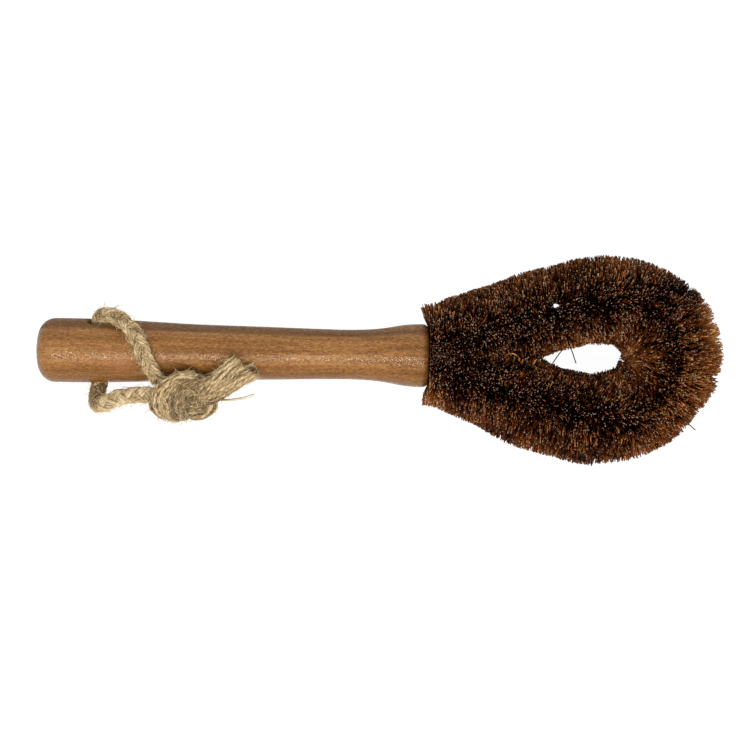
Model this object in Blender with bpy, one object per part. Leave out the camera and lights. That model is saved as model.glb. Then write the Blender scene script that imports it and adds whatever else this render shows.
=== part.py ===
"""Dish brush: a turned wooden handle, a looped stem of two twisted wires, palm-fibre
bristles and a jute hanging cord with an overhand knot.

The handle's axis lies along X with its butt at -X, +Z is up and the brush lies on the
tips of its bristles.  The origin is the centre of the footprint, on that surface.
Lengths are in metres, angles in radians.
"""
import math
import random

import bmesh
import bpy
from mathutils import Vector

# Clearances between pieces that touch
TOUCH_GAP = 0.0003
OVERRUN = 0.004

# Handle, turned from one billet
HANDLE_LENGTH = 0.142
GRIP_RADIUS = 0.0117
NECK_RADIUS = 0.0090
COLLAR_RADIUS = 0.0115
BUTT_FACE_RADIUS = 0.0055
BUTT_ROUND_LENGTH = 0.0060
COLLAR_ROUND = 0.0024
# How far along the handle, and how far its radius is from the neck's to the grip's
GRIP_SHARES = (
    (0.120, 1.000), (0.162, 0.944), (0.239, 0.852), (0.275, 0.741), (0.317, 0.648),
    (0.394, 0.444), (0.472, 0.352), (0.585, 0.241), (0.697, 0.093), (0.796, 0.000),
)
# How far along the handle, and how far its radius is from the neck's to the collar's
COLLAR_SHARES = ((0.852, 0.12), (0.894, 0.40), (0.930, 0.84), (0.964, 1.00))
HANDLE_SIDES = 32
ROUND_STEPS = 5

# Hole across the handle for the hanging cord, turned a little towards the top
CORD_HOLE_FROM_BUTT = 0.0217
CORD_HOLE_RADIUS = 0.0042
CORD_HOLE_TURN = math.radians(15)
CORD_HOLE_SIDES = 20

# Stem: two wires twisted together over the fibre, then bent into a loop
WIRE_RADIUS = 0.0009
WIRE_GAP = 0.0003
TWIST_PITCH = 0.012
POINTS_PER_TURN = 8
ARM_OFFSET = 0.0029
STEM_DEPTH = 0.028
DRILL_SLOPE = math.radians(31)
WIRE_REACH = 0.0903
LOOP_RADIUS = 0.0209
MOUTH_BEND_RADIUS = 0.015
ARM_END_TURN = math.radians(9.6)

# Bristles: palm fibre, fanned out round the stem
BRUSH_RADIUS = 0.0172
TIP_FLAT = 0.0005
STEM_CLEARANCE = 0.0005
LEAN_LENGTH = 0.040
SLICES_PER_SIDE = 9
SLICE_ROWS = 2
SLICE_COLUMNS = 12
CORE_SHARE = 0.56
STRAND_ROOT_SHARE = 0.46
STRAND_TIP_SHARE = 0.35
SHORTEST_STRAND_SHARE = 0.16
REACH_SPREAD_SHARE = 0.02
LEAN_SPREAD_SHARE = 0.05
# Reach of the bristles along half of the loop, as shares of the brush radius
OUTWARD_SHARES = (0.90, 0.95, 1.00, 1.04, 1.05, 1.02, 1.00, 1.00, 1.01)
INWARD_SHARES = (1.00, 1.00, 1.00, 0.94, 0.84, 0.84, 0.98, 1.08, 1.11)

# Hanging cord of plaited jute, seen here as its round outer shape
CORD_RADIUS = 0.0027
CORD_STEP = 0.0034
CORD_END_STEP = 0.0005
CORD_JOIN_GAP = 0.0005
CORD_BEVEL_RESOLUTION = 2
ROUTE_SAMPLES = 24

# Overhand knot, an opened trefoil that leans against the handle
KNOT_CORD_RADIUS = 0.0023
KNOT_UNIT = 0.0037
KNOT_RISE = 0.0048
KNOT_OPENING = math.radians(36)
KNOT_TILT = math.radians(40)
KNOT_STEPS = 18
KNOT_FROM_BUTT = 0.0525
KNOT_SIDEWAYS = -0.0180
KNOT_ABOVE_AXIS = 0.0088
TAIL_FLARE_SHARE = 1.25

# Places that follow from the sizes above
TOTAL_LENGTH = HANDLE_LENGTH + WIRE_REACH + BRUSH_RADIUS * OUTWARD_SHARES[-1]
BUTT_X = -TOTAL_LENGTH / 2
MOUTH_X = BUTT_X + HANDLE_LENGTH
AXIS_HEIGHT = BRUSH_RADIUS - TIP_FLAT
TWIST_OFFSET = (WIRE_RADIUS + WIRE_GAP / 2) / math.cos(math.pi / POINTS_PER_TURN)
STEM_RADIUS = TWIST_OFFSET + WIRE_RADIUS
STEM_BORE_RADIUS = ARM_OFFSET + STEM_RADIUS + TOUCH_GAP

WOOD = ((0.47, 0.22, 0.09), 0.45, 0.0)
STEEL = ((0.55, 0.55, 0.56), 0.35, 1.0)
FIBRE = ((0.20, 0.065, 0.018), 0.75, 0.0)
JUTE = ((0.55, 0.43, 0.27), 0.9, 0.0)


def clear_scene():
    for item in list(bpy.data.objects):
        bpy.data.objects.remove(item, do_unlink=True)


def add_finish(item, finish):
    """Give an object its own plain material."""
    colour, roughness, metallic = finish
    material = bpy.data.materials.new(item.name + "_finish")
    material.use_nodes = True
    shader = material.node_tree.nodes["Principled BSDF"]
    shader.inputs["Base Color"].default_value = (*colour, 1.0)
    shader.inputs["Roughness"].default_value = roughness
    shader.inputs["Metallic"].default_value = metallic
    item.data.materials.append(material)


def add_object(name, data, finish):
    item = bpy.data.objects.new(name, data)
    bpy.context.scene.collection.objects.link(item)
    if finish:
        add_finish(item, finish)
    return item


def add_mesh_object(name, shape, finish):
    """Turn a bmesh into an object, with rounded faces shaded smooth."""
    mesh = bpy.data.meshes.new(name)
    shape.to_mesh(mesh)
    shape.free()
    mesh.shade_smooth()
    mesh.set_sharp_from_angle(angle=math.radians(35))
    return add_object(name, mesh, finish)


def quarter_round(start, end, bulge_first):
    """Points of a quarter ellipse between two profile points, the start left out."""
    points = []
    for step in range(1, ROUND_STEPS + 1):
        turn = math.pi / 2 * step / ROUND_STEPS
        ahead, behind = math.sin(turn), 1 - math.cos(turn)
        along, out = (behind, ahead) if bulge_first else (ahead, behind)
        points.append((start[0] + (end[0] - start[0]) * along,
                       start[1] + (end[1] - start[1]) * out))
    return points


def handle_profile():
    """Half section of the turned handle as (distance from the butt, radius)."""
    butt_rim = (0, BUTT_FACE_RADIUS)
    profile = [(0, 0), butt_rim]
    profile += quarter_round(butt_rim, (BUTT_ROUND_LENGTH, GRIP_RADIUS), True)
    for along, share in GRIP_SHARES:
        profile.append((HANDLE_LENGTH * along,
                        NECK_RADIUS + (GRIP_RADIUS - NECK_RADIUS) * share))
    for along, share in COLLAR_SHARES:
        profile.append((HANDLE_LENGTH * along,
                        NECK_RADIUS + (COLLAR_RADIUS - NECK_RADIUS) * share))
    round_start = (HANDLE_LENGTH - COLLAR_ROUND, COLLAR_RADIUS)
    profile.append(round_start)
    round_end = (HANDLE_LENGTH, COLLAR_RADIUS - COLLAR_ROUND)
    profile += quarter_round(round_start, round_end, False)
    bore_end = HANDLE_LENGTH - STEM_DEPTH - TOUCH_GAP
    profile.append((HANDLE_LENGTH, STEM_BORE_RADIUS))
    profile.append((bore_end, STEM_BORE_RADIUS))
    profile.append((bore_end - STEM_BORE_RADIUS * math.tan(DRILL_SLOPE), 0))
    return profile


def add_handle():
    """Turn the handle and its blind stem bore in one profile, then drill the cord hole."""
    shape = bmesh.new()
    rim = [shape.verts.new((along, 0, out)) for along, out in handle_profile()]
    edges = [shape.edges.new(pair) for pair in zip(rim, rim[1:])]
    bmesh.ops.spin(shape, geom=rim + edges, axis=(1, 0, 0), cent=(0, 0, 0),
                   steps=HANDLE_SIDES, angle=math.tau, use_merge=True)
    bmesh.ops.remove_doubles(shape, verts=shape.verts, dist=TOUCH_GAP / 10)
    bmesh.ops.recalc_face_normals(shape, faces=shape.faces)
    handle = add_mesh_object("handle", shape, WOOD)
    handle.location = (BUTT_X, 0, AXIS_HEIGHT)
    drill = bmesh.new()
    bmesh.ops.create_cone(drill, cap_ends=True, segments=CORD_HOLE_SIDES,
                          radius1=CORD_HOLE_RADIUS, radius2=CORD_HOLE_RADIUS,
                          depth=2 * (GRIP_RADIUS + OVERRUN))
    cutter = add_mesh_object("cord_hole_cutter", drill, None)
    cutter.location = (BUTT_X + CORD_HOLE_FROM_BUTT, 0, AXIS_HEIGHT)
    cutter.rotation_euler = (CORD_HOLE_TURN - math.pi / 2, 0, 0)
    cutter.hide_render = True
    cutter.display_type = "WIRE"
    cut = handle.modifiers.new("cord_hole", "BOOLEAN")
    cut.operation = "DIFFERENCE"
    cut.solver = "EXACT"
    cut.object = cutter
    return handle


def follow(point, heading, curvature, run):
    """Go on along a straight run or an arc, and return the new point and heading."""
    if curvature == 0:
        return (point[0] + run * math.cos(heading), point[1] + run * math.sin(heading)), heading
    turned = heading + curvature * run
    return (point[0] + (math.sin(turned) - math.sin(heading)) / curvature,
            point[1] + (math.cos(heading) - math.cos(turned)) / curvature), turned


def stem_runs():
    """Arcs of half of the loop, from the handle's mouth to the loop's far point.

    A tight bend just outside the mouth spreads the arm, a long arc brings it to the
    end circle, and the end circle closes the loop.  Each run is (length, curvature).
    """
    centre_x = MOUTH_X + WIRE_REACH - LOOP_RADIUS
    meet = (centre_x - LOOP_RADIUS * math.sin(ARM_END_TURN),
            LOOP_RADIUS * math.cos(ARM_END_TURN))
    low, high = ARM_END_TURN, math.pi / 3
    for _ in range(50):
        spread = (low + high) / 2
        start, _ = follow((MOUTH_X, ARM_OFFSET), 0, 1 / MOUTH_BEND_RADIUS,
                          MOUTH_BEND_RADIUS * spread)
        chord_turn = math.atan2(meet[1] - start[1], meet[0] - start[0])
        if chord_turn > (spread + ARM_END_TURN) / 2:
            low = spread
        else:
            high = spread
    chord = math.dist(start, meet)
    arm_radius = chord / (2 * math.sin((spread - ARM_END_TURN) / 2))
    return ((MOUTH_BEND_RADIUS * spread, 1 / MOUTH_BEND_RADIUS),
            (arm_radius * (spread - ARM_END_TURN), -1 / arm_radius),
            (LOOP_RADIUS * (math.pi / 2 + ARM_END_TURN), -1 / LOOP_RADIUS))


STEM_RUNS = stem_runs()
HALF_LOOP = sum(run for run, _ in STEM_RUNS)


def stem_at(distance):
    """Point and heading of the +Y arm at a distance from the handle's mouth."""
    point, heading = (MOUTH_X, ARM_OFFSET), 0
    if distance < 0:
        return follow(point, heading, 0, distance)
    for run, curvature in STEM_RUNS:
        part = min(distance, run)
        point, heading = follow(point, heading, curvature, part)
        distance -= part
    return point, heading


def smooth_step(share):
    share = min(max(share, 0), 1)
    return share * share * (3 - 2 * share)


def section_lean(distance, heading):
    """Sections start square to the handle's face and end square to the stem."""
    return heading * smooth_step(distance / LEAN_LENGTH)


def add_tube(name, points, radius, finish, resolution, flare=1):
    """A closed tube along the points; flare widens its last point."""
    curve = bpy.data.curves.new(name, "CURVE")
    curve.dimensions = "3D"
    curve.bevel_depth = radius
    curve.bevel_resolution = resolution
    curve.use_fill_caps = True
    spline = curve.splines.new("POLY")
    spline.points.add(len(points) - 1)
    for index, (target, point) in enumerate(zip(spline.points, points)):
        target.co = (*point, 1)
        target.radius = 1 + (flare - 1) * smooth_step(index / (len(points) - 1))
    spline.use_smooth = True
    return add_object(name, curve, finish)


def add_wire(name, phase):
    """One wire of the twisted pair, from one blind end in the handle to the other."""
    whole = 2 * (STEM_DEPTH + HALF_LOOP)
    steps = round(whole / TWIST_PITCH * POINTS_PER_TURN)
    points = []
    for step in range(steps + 1):
        distance = whole * step / steps - STEM_DEPTH
        side = 1
        if distance > HALF_LOOP:
            distance, side = 2 * HALF_LOOP - distance, -1
        (x, y), heading = stem_at(distance)
        turn = phase + math.tau * step / POINTS_PER_TURN
        across = TWIST_OFFSET * math.cos(turn)
        points.append((x - across * math.sin(heading),
                       side * (y + across * math.cos(heading)),
                       AXIS_HEIGHT + TWIST_OFFSET * math.sin(turn)))
    return add_tube(name, points, WIRE_RADIUS, STEEL, 1)


def table_value(shares, along):
    """Read a table of evenly spaced shares at a place from 0 to 1."""
    place = min(max(along, 0), 1) * (len(shares) - 1)
    index = min(int(place), len(shares) - 2)
    return shares[index] + (shares[index + 1] - shares[index]) * (place - index)


def bristle_reach(distance, turn):
    """How far the bristles reach from the stem, for a direction round it."""
    along = distance / HALF_LOOP
    sideways = math.cos(turn)
    shares = OUTWARD_SHARES if sideways > 0 else INWARD_SHARES
    share = 1 + (table_value(shares, along) - 1) * sideways * sideways
    return BRUSH_RADIUS * share


def middle_limit(distance, turn):
    """Distance from the stem to the middle plane, where both arms' bristles meet."""
    (_, y), heading = stem_at(distance)
    inward = -math.cos(turn) * math.cos(section_lean(distance, heading))
    if inward <= 0:
        return math.inf
    return (y - TOUCH_GAP / 2) / inward


def bend_round_loop(vertex, side):
    """Carry a point of the straight brush to its place on the bent loop."""
    distance, across, up = vertex.co
    (x, y), heading = stem_at(distance)
    lean = section_lean(distance, heading)
    if math.hypot(across, up) < STEM_RADIUS + 2 * STEM_CLEARANCE:
        across /= math.cos(heading - lean)
    vertex.co = (x - across * math.sin(lean),
                 side * max(y + across * math.cos(lean), TOUCH_GAP / 2),
                 max(AXIS_HEIGHT + up, 0))


def straight_ring(shape, distance, reach_of_turn):
    """One ring of vertices round the straight stem."""
    ring = []
    for column in range(SLICE_COLUMNS):
        turn = math.tau * (column + 0.5) / SLICE_COLUMNS
        reach = reach_of_turn(distance, turn)
        ring.append(shape.verts.new((distance, reach * math.cos(turn), reach * math.sin(turn))))
    return ring


def loft(shape, rings):
    """Faces between rings that follow each other."""
    faces = []
    for ring, following in zip(rings, rings[1:]):
        for column in range(SLICE_COLUMNS):
            after = (column + 1) % SLICE_COLUMNS
            faces.append(shape.faces.new((ring[column], ring[after],
                                          following[after], following[column])))
    return faces


def grow_strand(shape, face, chance):
    """Draw one three-sided strand out of a face, or leave the face as it is."""
    centre = face.calc_center_median()
    turn = math.atan2(centre.z, centre.y)
    root = math.hypot(centre.y, centre.z)
    reach = bristle_reach(centre.x, turn) * (1 - REACH_SPREAD_SHARE * chance.random())
    reach = min(reach, middle_limit(centre.x, turn))
    lean = LEAN_SPREAD_SHARE * BRUSH_RADIUS * (chance.random() - 0.5)
    if reach - root < SHORTEST_STRAND_SHARE * BRUSH_RADIUS:
        return 0
    tip = Vector((centre.x + lean, centre.y * reach / root, centre.z * reach / root))
    collar = bmesh.ops.extrude_discrete_faces(shape, faces=[face])["faces"][0]
    for vertex in collar.verts:
        vertex.co = centre.lerp(vertex.co, STRAND_ROOT_SHARE)
    end = bmesh.ops.extrude_discrete_faces(shape, faces=[collar])["faces"][0]
    for vertex in end.verts:
        vertex.co = tip + (vertex.co - centre) * STRAND_TIP_SHARE
    return 1


def add_slice(name, side, start, end, chance):
    """One slice of the fibre: made straight round its bore, then bent with the loop."""
    shape = bmesh.new()
    stations = [start + (end - start) * row / SLICE_ROWS for row in range(SLICE_ROWS + 1)]
    bore_reach = (STEM_RADIUS + STEM_CLEARANCE) / math.cos(math.pi / SLICE_COLUMNS)
    core = [straight_ring(shape, station, lambda distance, turn:
                          CORE_SHARE * bristle_reach(distance, turn)) for station in stations]
    bore = [straight_ring(shape, station, lambda distance, turn: bore_reach)
            for station in stations]
    skin = loft(shape, core)
    loft(shape, bore)
    loft(shape, (core[0], bore[0]))
    loft(shape, (core[-1], bore[-1]))
    bmesh.ops.recalc_face_normals(shape, faces=shape.faces)
    strands = 0
    for index, face in enumerate(skin):
        halves = bmesh.ops.triangulate(shape, faces=[face])["faces"]
        strands += grow_strand(shape, halves[index % 2], chance)
    for vertex in shape.verts:
        bend_round_loop(vertex, side)
    if side < 0:
        bmesh.ops.reverse_faces(shape, faces=shape.faces)
    add_mesh_object(name, shape, FIBRE)
    return strands


def add_bristles():
    """Slices of fibre along both arms, mirrored about the middle plane."""
    strands = 0
    pitch = HALF_LOOP / SLICES_PER_SIDE
    for side, side_name in ((1, "left"), (-1, "right")):
        for index in range(SLICES_PER_SIDE):
            start = pitch * index + (TOUCH_GAP if index == 0 else TOUCH_GAP / 2)
            end = pitch * (index + 1) - TOUCH_GAP / 2
            chance = random.Random(10 * index + side)
            strands += add_slice(f"fibre_{side_name}_{index + 1}", side, start, end, chance)
    print("bristle strands:", strands)


def knot_points():
    """Centreline of the overhand knot, from the leg's entry to the tail's exit."""
    centre = Vector((BUTT_X + KNOT_FROM_BUTT, KNOT_SIDEWAYS, AXIS_HEIGHT + KNOT_ABOVE_AXIS))
    along = Vector((1, 0, 0))
    across = Vector((0, math.cos(KNOT_TILT), math.sin(KNOT_TILT)))
    out = Vector((0, -math.sin(KNOT_TILT), math.cos(KNOT_TILT)))
    first = math.pi - KNOT_OPENING
    points = []
    for step in range(KNOT_STEPS + 1):
        turn = first - 2 * first * step / KNOT_STEPS
        points.append(centre
                      + along * KNOT_UNIT * (math.sin(turn) + 2 * math.sin(2 * turn))
                      - across * KNOT_UNIT * (math.cos(turn) - 2 * math.cos(2 * turn))
                      - out * KNOT_RISE * math.sin(3 * turn))
    return points


def beside_handle(from_butt, sideways, above_axis):
    """A place given from the handle's butt and axis."""
    return Vector((BUTT_X + from_butt, sideways, AXIS_HEIGHT + above_axis))


def hole_place(share):
    """A place on the cord hole's axis, as a share of the grip's radius."""
    reach = share * GRIP_RADIUS
    return beside_handle(CORD_HOLE_FROM_BUTT, reach * math.cos(CORD_HOLE_TURN),
                         reach * math.sin(CORD_HOLE_TURN))


def cord_route():
    """The cord's points by stretch, from beside the knot, through the handle and round
    to the knot, with both tails.  The places are chosen by hand from the photograph."""
    lower_leg = [
        beside_handle(0.0418, -0.0168, 0.0046), beside_handle(0.0345, -0.0162, 0.0024),
        beside_handle(0.0283, -0.0172, -0.0006), beside_handle(0.0240, -0.0189, -0.0040),
        beside_handle(0.0218, -0.0172, -0.0054), hole_place(-1.12),
        hole_place(-0.85),
    ]
    in_handle = [hole_place(-0.85), hole_place(-0.4), hole_place(0.4), hole_place(0.85)]
    upper_leg = [
        hole_place(0.85), hole_place(1.08), beside_handle(0.0230, 0.0139, 0.0054),
        beside_handle(0.0262, 0.0134, 0.0074), beside_handle(0.0318, 0.0103, 0.0105),
        beside_handle(0.0355, 0.0056, 0.0135), beside_handle(0.0386, -0.0005, 0.0146),
        beside_handle(0.0412, -0.0053, 0.0139), beside_handle(0.0442, -0.0082, 0.0121),
    ]
    upper_tail = [
        beside_handle(0.0590, -0.0128, 0.0178), beside_handle(0.0632, -0.0090, 0.0163),
        beside_handle(0.0688, -0.0058, 0.0140), beside_handle(0.0745, -0.0022, 0.0133),
    ]
    lower_tail = [
        beside_handle(0.0650, -0.0141, 0.0086), beside_handle(0.0692, -0.0121, 0.0085),
        beside_handle(0.0735, -0.0100, 0.0090), beside_handle(0.0790, -0.0076, 0.0106),
    ]
    return lower_leg, in_handle, upper_leg, upper_tail, lower_tail


def smooth_spans(points):
    """Finely spaced points on a smooth curve, one list for each span of the route."""
    ends = [2 * points[0] - points[1], *points, 2 * points[-1] - points[-2]]
    spans = []
    for before, start, end, after in zip(ends, ends[1:], ends[2:], ends[3:]):
        span = []
        for sample in range(ROUTE_SAMPLES + 1):
            t = sample / ROUTE_SAMPLES
            span.append(0.5 * (2 * start + (end - before) * t
                               + (2 * before - 5 * start + 4 * end - after) * t ** 2
                               + (3 * start - before - 3 * end + after) * t ** 3))
        spans.append(span)
    return spans


def even_points(fine, step, start_gap, end_gap):
    """Points at an even step along a fine line, drawn in by a gap at each end."""
    lengths = [0]
    for first, second in zip(fine, fine[1:]):
        lengths.append(lengths[-1] + (second - first).length)
    span = lengths[-1] - start_gap - end_gap
    count = max(round(span / step), 2)
    places = [span * place / count for place in range(count + 1)]
    places[1:1] = [CORD_END_STEP]
    places[-1:-1] = [span - CORD_END_STEP]
    points = []
    index = 0
    for place in places:
        wanted = start_gap + place
        while lengths[index + 1] < wanted and index < len(lengths) - 2:
            index += 1
        piece = lengths[index + 1] - lengths[index]
        share = (wanted - lengths[index]) / piece if piece else 0
        points.append(fine[index].lerp(fine[index + 1], share))
    return points


def joined(spans):
    return [spans[0][0]] + [point for span in spans for point in span[1:]]


def least_self_gap(points, radius):
    """Least clear distance between stretches of a tube that don't follow each other."""
    near = math.pi * radius
    lengths = [0]
    for first, second in zip(points, points[1:]):
        lengths.append(lengths[-1] + (second - first).length)
    gap = math.inf
    for i, first in enumerate(points):
        for j in range(i + 1, len(points)):
            if lengths[j] - lengths[i] > 2 * near:
                gap = min(gap, (points[j] - first).length - 2 * radius)
    return gap


def add_cord():
    """The hanging cord in stretches that meet end to end."""
    lower_leg, in_handle, upper_leg, upper_tail, lower_tail = cord_route()
    knot = knot_points()
    route = lower_leg + in_handle[1:] + upper_leg[1:] + knot + upper_tail
    spans = smooth_spans(route)
    cuts = [0]
    for stretch in (lower_leg[1:], in_handle[1:], upper_leg[1:], knot):
        cuts.append(cuts[-1] + len(stretch))
    cuts.append(len(spans))
    names = ("cord_lower_leg", "cord_in_handle", "cord_upper_leg", "cord_knot",
             "cord_upper_tail")
    for name, first, last in zip(names, cuts, cuts[1:]):
        fine = joined(spans[first:last])
        points = even_points(fine, CORD_STEP, CORD_JOIN_GAP / 2, CORD_JOIN_GAP / 2)
        flare = TAIL_FLARE_SHARE if name.endswith("tail") else 1
        radius = KNOT_CORD_RADIUS if name == "cord_knot" else CORD_RADIUS
        add_tube(name, points, radius, JUTE, CORD_BEVEL_RESOLUTION, flare)
        if name == "cord_knot":
            print("least gap of the knot to itself, mm:",
                  round(least_self_gap(fine, radius) * 1000, 2))
    points = even_points(joined(smooth_spans(lower_tail)), CORD_STEP, 0, 0)
    add_tube("cord_lower_tail", points, CORD_RADIUS, JUTE, CORD_BEVEL_RESOLUTION,
             TAIL_FLARE_SHARE)


def main():
    clear_scene()
    add_handle()
    add_wire("stem_wire_a", 0)
    add_wire("stem_wire_b", math.pi)
    add_bristles()
    add_cord()


main()
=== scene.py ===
# %% [markdown]
# # A dish brush: beech, twisted wire, palm fibre and a jute cord
#
# The real brush is a turned beech handle, a brush of palm fibre held between two
# twisted wires and bent into a loop, and a plaited jute cord that hangs it up.  The
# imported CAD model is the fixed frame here.  This script keeps its sizes and gives every
# part the surface that the real one has.

# %% Load the fixed frame
import math
from types import SimpleNamespace

import bmesh
import bpy
import numpy as np
from mathutils import Matrix, Quaternion, Vector


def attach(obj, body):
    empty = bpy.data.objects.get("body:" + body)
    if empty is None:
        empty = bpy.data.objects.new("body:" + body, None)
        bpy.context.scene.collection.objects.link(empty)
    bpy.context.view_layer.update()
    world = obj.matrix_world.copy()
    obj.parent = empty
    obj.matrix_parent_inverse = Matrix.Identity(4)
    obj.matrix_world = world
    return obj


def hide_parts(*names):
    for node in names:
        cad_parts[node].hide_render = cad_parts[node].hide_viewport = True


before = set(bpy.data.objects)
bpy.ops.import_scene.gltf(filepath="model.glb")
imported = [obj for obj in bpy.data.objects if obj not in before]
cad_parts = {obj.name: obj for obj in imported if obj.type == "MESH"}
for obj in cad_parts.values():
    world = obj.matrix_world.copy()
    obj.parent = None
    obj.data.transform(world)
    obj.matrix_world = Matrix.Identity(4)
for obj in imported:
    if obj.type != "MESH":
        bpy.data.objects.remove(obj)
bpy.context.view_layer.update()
MM = 0.001
print("nodes in the frame:", len(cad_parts))

# %% [markdown]
# ## Places that every piece needs
#
# The handle's axis lies along X, with its butt at -X.  Measuring from the butt and from
# the axis is how a wood turner would mark the work out, so the script does the same.

# %% Main places
BUTT_X = -0.124836
AXIS_HEIGHT = 0.0167
MOUTH_X = 0.017164
HANDLE_LENGTH = MOUTH_X - BUTT_X
AXIS_POINT = Vector((BUTT_X, 0, AXIS_HEIGHT))


def beside_handle(from_butt, sideways, above_axis):
    """A place given in millimetres from the handle's butt and axis."""
    return AXIS_POINT + Vector((from_butt, sideways, above_axis)) * MM


print("the handle is", round(HANDLE_LENGTH / MM, 1), "mm long")

# %% [markdown]
# ## Camera
#
# The picture was taken from straight above with a long lens.  A camera that looks down
# needs no rotation except for the small turn of the brush in the picture.

# %% Camera
PICTURE_WIDTH = 754
PIXEL = 0.365 * MM
LENS, SENSOR = 80, 36
CAMERA_PLACE = (-1.6 * MM, -7.3 * MM)
CAMERA_TURN = math.radians(0.89)

camera_data = bpy.data.cameras.new("camera")
camera_data.lens = LENS
camera_data.sensor_width = SENSOR
camera = bpy.data.objects.new("camera", camera_data)
camera_reach = PIXEL * PICTURE_WIDTH * LENS / SENSOR
camera.location = (*CAMERA_PLACE, AXIS_HEIGHT + camera_reach)
camera.rotation_euler = (0, 0, CAMERA_TURN)
bpy.context.scene.collection.objects.link(camera)
bpy.context.scene.camera = camera
bpy.context.scene.view_settings.view_transform = "Standard"
print("the camera is", round(camera_reach, 3), "m above the axis")

# %% [markdown]
# ## Shader maths in plain Python
#
# A material is a graph of nodes.  Each node could be made and linked by hand, but
# written as ordinary expressions the graph stays short.  So a small class wraps a
# socket, and Python's own operators make the Math nodes.

# %% A socket that can be reckoned with
class Value:
    """A shader socket that Python's own operators can combine."""

    def __init__(self, finish, socket):
        self.finish, self.socket = finish, socket

    def maths(self, operation, *values):
        return self.finish.node("Math", {"operation": operation}, dict(enumerate(values)))

    def __add__(self, other):
        return self.maths("ADD", self, other)

    def __sub__(self, other):
        return self.maths("SUBTRACT", self, other)

    def __rsub__(self, other):
        return self.maths("SUBTRACT", other, self)

    def __mul__(self, other):
        return self.maths("MULTIPLY", self, other)

    def __pow__(self, other):
        return self.maths("POWER", self, other)

    __radd__ = __add__
    __rmul__ = __mul__

    def step(self, low, high):
        """0 below low, 1 above high and smooth between."""
        return self.finish.node(
            "MapRange", {"interpolation_type": "SMOOTHSTEP"},
            {"Value": self, "From Min": low, "From Max": high})


print("a Value can be added, subtracted, multiplied, raised and stepped")

# %% [markdown]
# A finish is one material.  Its node method makes a node, sets what the editor shows in
# the node's panel, and fills or links its sockets.  Everything else here calls it, so a
# noise or a bump takes one short line.

# %% A finish and its nodes
class Finish:
    """A material whose nodes are made one call at a time."""

    def __init__(self, name, sockets):
        self.material = bpy.data.materials.new(name)
        self.material.use_nodes = True
        self.tree = self.material.node_tree
        self.shader = self.tree.nodes["Principled BSDF"]
        self.feed(self.shader, sockets)

    def feed(self, node, values):
        for name, value in values.items():
            socket = node.inputs[name]
            if isinstance(value, Value):
                self.tree.links.new(value.socket, socket)
            else:
                socket.default_value = value

    def node(self, kind, settings=None, values=None, output=0):
        made = self.tree.nodes.new("ShaderNode" + kind)
        for name, setting in (settings or {}).items():
            if name == "stops":
                ramp = made.color_ramp
                while len(ramp.elements) < len(setting):
                    ramp.elements.new(1)
                for element, (place, colour) in zip(ramp.elements, setting):
                    element.position, element.color = place, (*colour, 1)
            elif name == "blending":
                made.color_ramp.interpolation = setting
            else:
                setattr(made, name, setting)
        self.feed(made, values or {})
        return Value(self, made.outputs[output])

    def ramp(self, value, stops, blending="LINEAR"):
        return self.node("ValToRGB", {"stops": stops, "blending": blending}, {0: value})

    def mix(self, factor, first, second, blend="MIX"):
        first, second = (c if isinstance(c, Value) else (*c, 1) for c in (first, second))
        return self.node("Mix", {"data_type": "RGBA", "blend_type": blend},
                         {0: factor, 6: first, 7: second}, output=2)

    def noise(self, place, scale, detail=2, lengthen=(1, 1, 1)):
        """Noise on a place, with features lengthened along some axes."""
        drawn = self.node("Mapping", {}, {"Vector": place,
                                          "Scale": [scale / k for k in lengthen]})
        return self.node("TexNoise", {}, {"Vector": drawn, "Scale": 1.0, "Detail": detail})

    def bump(self, height, distance):
        return self.node("Bump", {}, {"Height": height, "Distance": distance})

    def place(self):
        """Where a point lies on its piece."""
        return self.node("TexCoord", output="Object")

    def split(self, vector):
        """The three parts of a vector."""
        first = self.node("SeparateXYZ", {}, {0: vector})
        return [Value(self, part) for part in first.socket.node.outputs]

    def wear(self, piece):
        """Give a piece this finish alone."""
        piece.data.materials.clear()
        piece.data.materials.append(self.material)


print("a Finish can make ramps, mixes, noise and bumps")

# %% [markdown]
# ## One fibre, many times
#
# Both the brush and the cord's fuzz are thousands of thin fibres.  A fibre is a thin
# three-sided stick with two cuts across it, so that it can bend there.  It is made once,
# and then set down many times along lines that numpy works out together.

# %% The pattern fibre
FIBRE_CUTS = (0.34, 0.70)
# Added where a direction could be zero, because unit divides by its length
TINY = 1e-9


def unit(vectors):
    """The same directions with a length of 1."""
    return vectors / np.linalg.norm(vectors, axis=-1, keepdims=True)


def make_pattern():
    """Triangles of one fibre, and for each vertex its ring and its corner."""
    shape = bmesh.new()
    bmesh.ops.create_cone(shape, cap_ends=True, segments=3, radius1=1, radius2=1, depth=1,
                          matrix=Matrix.Translation((0, 0, 0.5)))
    for share in FIBRE_CUTS:
        bmesh.ops.bisect_plane(shape, geom=shape.verts[:] + shape.edges[:] + shape.faces[:],
                               plane_co=(0, 0, share), plane_no=(0, 0, 1))
    bmesh.ops.triangulate(shape, faces=shape.faces)
    bmesh.ops.recalc_face_normals(shape, faces=shape.faces)
    heights = (0, *FIBRE_CUTS, 1)
    rings, corners = [], []
    shape.verts.index_update()
    for vertex in shape.verts:
        rings.append(int(np.argmin([abs(vertex.co.z - h) for h in heights])))
        corners.append(round(math.atan2(vertex.co.y, vertex.co.x) / (math.tau / 3) + 1) % 3)
    triangles = np.array([[v.index for v in face.verts] for face in shape.faces])
    shape.free()
    return np.array(heights), np.array(rings), np.array(corners), triangles


HEIGHTS, RINGS, CORNERS, TRIANGLES = make_pattern()
print("triangles in a fibre:", len(TRIANGLES))

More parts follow.
